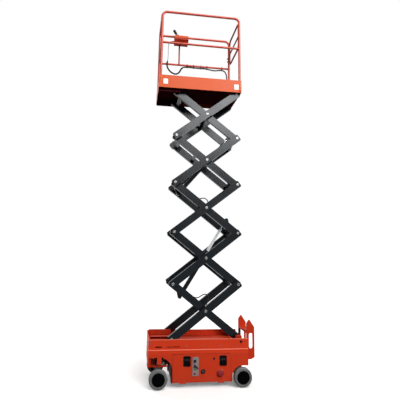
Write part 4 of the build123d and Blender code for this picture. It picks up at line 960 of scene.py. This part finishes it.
class LIFT_OT_welds(bpy.types.Operator):
    """Run the weld beads of the guard rails and of the gate"""
    bl_idname = "lift.welds"
    bl_label = "Weld beads"

    def execute(self, context):
        bead = context.scene.lift_trim.weld
        stock = bmesh.new()
        for side in (-1, 1):
            y = side * RAIL_Y
            for x in (POST_FRONT + RAIL, POST_REAR - RAIL):
                stand(stock, ring(MID_BAR, bead), (x, y, MID_RAIL), (1, 0, 0))
            for x in (POST_FRONT, POST_REAR):
                stand(stock, ring(RAIL + 0.0006, bead), (x, y, FLOOR_TOP + bead * 0.6), (0, 0, 1))
        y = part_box("front_guard_rail")[1].y - RAIL
        for side in (-1, 1):
            stand(stock, ring(RAIL + 0.0006, bead),
                  (POST_FRONT, side * y, FLOOR_TOP + bead * 0.6), (0, 0, 1))
            stand(stock, ring(MID_BAR, bead), (POST_FRONT, side * (y - RAIL), MID_RAIL), (0, 1, 0))
        show("rail_welds", stock, "platform", "rails")
        gate = bmesh.new()
        low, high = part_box("entry_gate")
        x = (low.x + high.x) / 2
        for y in (low.y + 0.0135, GATE_HINGE_Y - 0.012):
            stand(gate, ring(0.0115, bead * 0.8, 24, 6), (x, y, TOP_RAIL - 0.260), (0, 1, 0))
        show("gate_welds", gate, "gate", "gate")
        return {"FINISHED"}


class LIFT_OT_fasteners(bpy.types.Operator):
    """Fit the rivets, bolts and plugs that show"""
    bl_idname = "lift.fasteners"
    bl_label = "Rivets and bolts"

    def execute(self, context):
        self.heads("rail_rivets", "side_rails", "chassis", "steel", "rod_chrome",
                   [(button, (0.0065, 0.0026, 0.0018), 0.0, place) for place in RAIL_RIVETS]
                   + [(button, (0.0055, 0.0026, 0.0018), 0.0, place) for place in END_RIVETS])
        self.heads("rail_bolts", "side_rails", "chassis", "plastic", "black_plastic",
                   [(button, (0.016, 0.0020, 0.0010), 0.0, RAIL_BOLT),
                    (hexagon, (0.011, 0.0075), 0.002, RAIL_BOLT)])
        self.heads("skirt_bolts", "deck_skirts", "platform", "steel", "rod_chrome",
                   [(button, (0.0060, 0.0028, 0.0018), 0.0, place) for place in SKIRT_BOLTS])
        self.heads("skirt_plugs", "deck_skirts", "platform", "plastic", "black_plastic",
                   [(hexagon, (0.011, 0.006), 0.0, SKIRT_PLUG)])
        return {"FINISHED"}

    def heads(self, name, node, body, look, slot, rows):
        """Heads on both sides of a node: shape, sizes, how far out it stands, and place."""
        stock = bmesh.new()
        for side in (-1, 1):
            for shape, sizes, out, (x, z) in rows:
                y = side * (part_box(node)[1].y + out)
                stand(stock, shape(*sizes), (x, y, z), (0, side, 0))
        show(name, stock, body, look)


class LIFT_OT_aprons(bpy.types.Operator):
    """Hang the splash aprons behind the front wheels"""
    bl_idname = "lift.aprons"
    bl_label = "Splash aprons"

    def execute(self, context):
        low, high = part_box("wheel_housings")
        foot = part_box("near_side_door")[0].z
        inner = high.y - 0.132
        stock = bmesh.new()
        for side in (-1, 1):
            apron = slab((0.0045, high.y - inner, low.z - foot), 0.0015)
            middle = (high.x - 0.0052, side * (high.y + inner) / 2, (low.z + foot) / 2)
            lay(stock, apron, middle)
            for share in (0.15, 0.5, 0.85):
                seat = (high.x - 0.0074, side * (inner + share * (high.y - inner)), low.z - 0.012)
                stand(stock, button(0.0055, 0.0024, 0.0012), seat, (-1, 0, 0))
        show("splash_aprons", stock, "chassis", "hose")
        return {"FINISHED"}


class LIFT_OT_joystick(bpy.types.Operator):
    """Model the drive lever, its boot and the rocker beside it"""
    bl_idname = "lift.joystick"
    bl_label = "Joystick"

    def execute(self, context):
        folds = context.scene.lift_trim.boot_folds
        middle_y = sum(corner.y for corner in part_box("joystick")) / 2
        foot = Vector((BOX_LEFT + 0.058, middle_y, BOX_TOP - 0.016))
        lean = Vector((math.sin(math.radians(-32)), 0.0, math.cos(math.radians(-32))))
        stock = bmesh.new()
        profile = [(0.0, 0.0), (0.029, 0.0), (0.029, 0.004)]
        for fold in range(folds):
            wide = 0.0255 - 0.010 * fold / folds
            rise = 0.006 + 0.026 * fold / folds
            profile += [(wide, rise), (wide - 0.0045, rise + 0.0033)]
        profile += [(0.0125, 0.036), (0.0, 0.036)]
        stand(stock, turned(profile, 36), foot, (lean + Vector((0, 0, 1.6))).normalized())
        grip = [(0.0, 0.020), (0.0095, 0.020), (0.0095, 0.052), (0.0175, 0.058), (0.0212, 0.068),
                (0.0195, 0.084),
                (0.0205, 0.100), (0.0215, 0.112), (0.0205, 0.124), (0.0150, 0.131), (0.0, 0.132)]
        stand(stock, turned(grip, 32), foot, lean)
        trigger = slab((0.010, 0.013, 0.030), 0.003)
        stand(stock, trigger, foot + lean * 0.104 + Vector((0.013, 0, 0.007)), lean)
        tray = slab((0.112, 0.050, 0.004), 0.0015)
        lay(stock, tray, (foot.x + 0.094, foot.y, BOX_TOP - 0.0105))
        stick = show("drive_lever", stock, "platform", "plastic")
        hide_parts("joystick")
        caps = bmesh.new()
        for step in (0.060, 0.094, 0.128):
            stand(caps, button(0.0125, 0.0105, 0.003),
                  (foot.x + step, foot.y, BOX_TOP - 0.0085), (0, 0, 1))
        show("box_buttons", caps, "platform", "olive")
        return {"FINISHED"}


class LIFT_OT_box_screws(bpy.types.Operator):
    """Screw the face of the platform control box"""
    bl_idname = "lift.box_screws"
    bl_label = "Control box screws"

    def execute(self, context):
        face_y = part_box("control_box")[0].y
        low, high = Vector((face_y, BOX_TOP - 0.097)), Vector((face_y + 0.020, BOX_TOP - 0.020))
        out = Vector((0.0, -(high.y - low.y), high.x - low.x)).normalized()
        stock = bmesh.new()
        for x in (BOX_LEFT + 0.014, BOX_LEFT + 0.206):
            for share in (0.15, 0.85):
                y, z = low.lerp(high, share)
                stand(stock, button(0.0045, 0.0016, 0.0010), Vector((x, y, z)) - out * 0.0002, out)
        show("box_screws", stock, "platform", "steel")
        return {"FINISHED"}


class LIFT_OT_ground_trim(bpy.types.Operator):
    """Finish the switches on the near door"""
    bl_idname = "lift.ground_trim"
    bl_label = "Ground control trim"

    def execute(self, context):
        face, x, top = DOOR_FACE, STRIP_X, STRIP_TOP
        (key_x, key_z), (lamp_x, lamp_z), (stop_x, stop_z) = KEY_SWITCH, CHARGE_LAMP, STOP_BUTTON
        stock = bmesh.new()
        knob = [(0.0, 0.0), (0.0128, 0.0), (0.0128, 0.006), (0.0118, 0.020), (0.0100, 0.023), (0.0, 0.0235)]
        stand(stock, turned(knob, 12), (x - 0.007, face - 0.0065, top - DIAL_DROP), (0, -1, 0))
        mark = (x - 0.007, face - 0.0305, top - DIAL_DROP + 0.004)
        lay(stock, slab((0.0028, 0.003, 0.012), 0.0008), mark)
        stand(stock, ring(0.0250, 0.0034, 36, 8), (key_x, face - 0.0045, key_z), (0, -1, 0))
        stand(stock, ring(0.0110, 0.0022, 28, 8), (lamp_x, face - 0.0042, lamp_z), (0, -1, 0))
        show("switch_trim", stock, "near_door", "latch")
        key = bmesh.new()
        stand(key, button(0.0085, 0.0016, 0.0010), (key_x, face - 0.0118, key_z), (0, -1, 0))
        lay(key, slab((0.0030, 0.017, 0.023), 0.0012), (key_x, face - 0.0200, key_z))
        for sx in (-0.030, 0.030):
            for z in (top - 0.010, top - STRIP_HEIGHT + 0.010):
                stand(key, button(0.0042, 0.0014, 0.0009), (x + sx, face - 0.0048, z), (0, -1, 0))
        show("switch_metal", key, "near_door", "steel")
        stop = bmesh.new()
        cap = [(0.0, 0.0), (0.0395, 0.0), (0.0400, 0.0035), (0.0360, 0.0070), (0.0200, 0.0088),
               (0.0, 0.0092)]
        stand(stop, turned(cap, 40), (stop_x, face - 0.0185, stop_z), (0, -1, 0))
        show("stop_cap", stop, "near_door", "halt")
        for name, drop, look in (("raise_button_cap", RAISE_DROP, "go"),
                                 ("lower_button_cap", LOWER_DROP, "halt")):
            cap = bmesh.new()
            stand(cap, button(0.0108, 0.0030, 0.0022), (x - 0.006, face - 0.0115, top - drop), (0, -1, 0))
            show(name, cap, "near_door", look)
        return {"FINISHED"}


PARTS = (LIFT_OT_studio, LIFT_OT_coats, LIFT_OT_cords, LIFT_OT_harness_ties, LIFT_OT_labels,
         LIFT_OT_pin_caps,
         LIFT_OT_welds, LIFT_OT_fasteners, LIFT_OT_aprons, LIFT_OT_joystick, LIFT_OT_box_screws,
         LIFT_OT_ground_trim)


class LIFT_PT_dresser(bpy.types.Panel):
    """Buttons and sizes of the lift's dress"""
    bl_idname = "LIFT_PT_dresser"
    bl_label = "Scissor lift"
    bl_space_type = "VIEW_3D"
    bl_region_type = "UI"
    bl_category = "Lift"

    def draw(self, context):
        layout = self.layout
        for part in PARTS:
            layout.operator(part.bl_idname)
        scene = context.scene
        for group in (scene.lift_paints, scene.lift_trim, scene.lift_studio):
            box = layout.box()
            for name in group.__annotations__:
                box.prop(group, name)


CLASSES = (LiftPaints, LiftTrim, LiftStudio, *PARTS, LIFT_PT_dresser)


def register():
    for cls in CLASSES:
        bpy.utils.register_class(cls)
    bpy.types.Scene.lift_paints = PointerProperty(type=LiftPaints)
    bpy.types.Scene.lift_trim = PointerProperty(type=LiftTrim)
    bpy.types.Scene.lift_studio = PointerProperty(type=LiftStudio)


def unregister():
    del bpy.types.Scene.lift_studio
    del bpy.types.Scene.lift_trim
    del bpy.types.Scene.lift_paints
    for cls in reversed(CLASSES):
        bpy.utils.unregister_class(cls)


def main():
    register()
    for part in PARTS:
        group, name = part.bl_idname.split(".")
        result = getattr(getattr(bpy.ops, group), name)()
        if "FINISHED" not in result:
            raise RuntimeError(f"{part.bl_label} didn't finish")


if __name__ == "__main__":
    main()
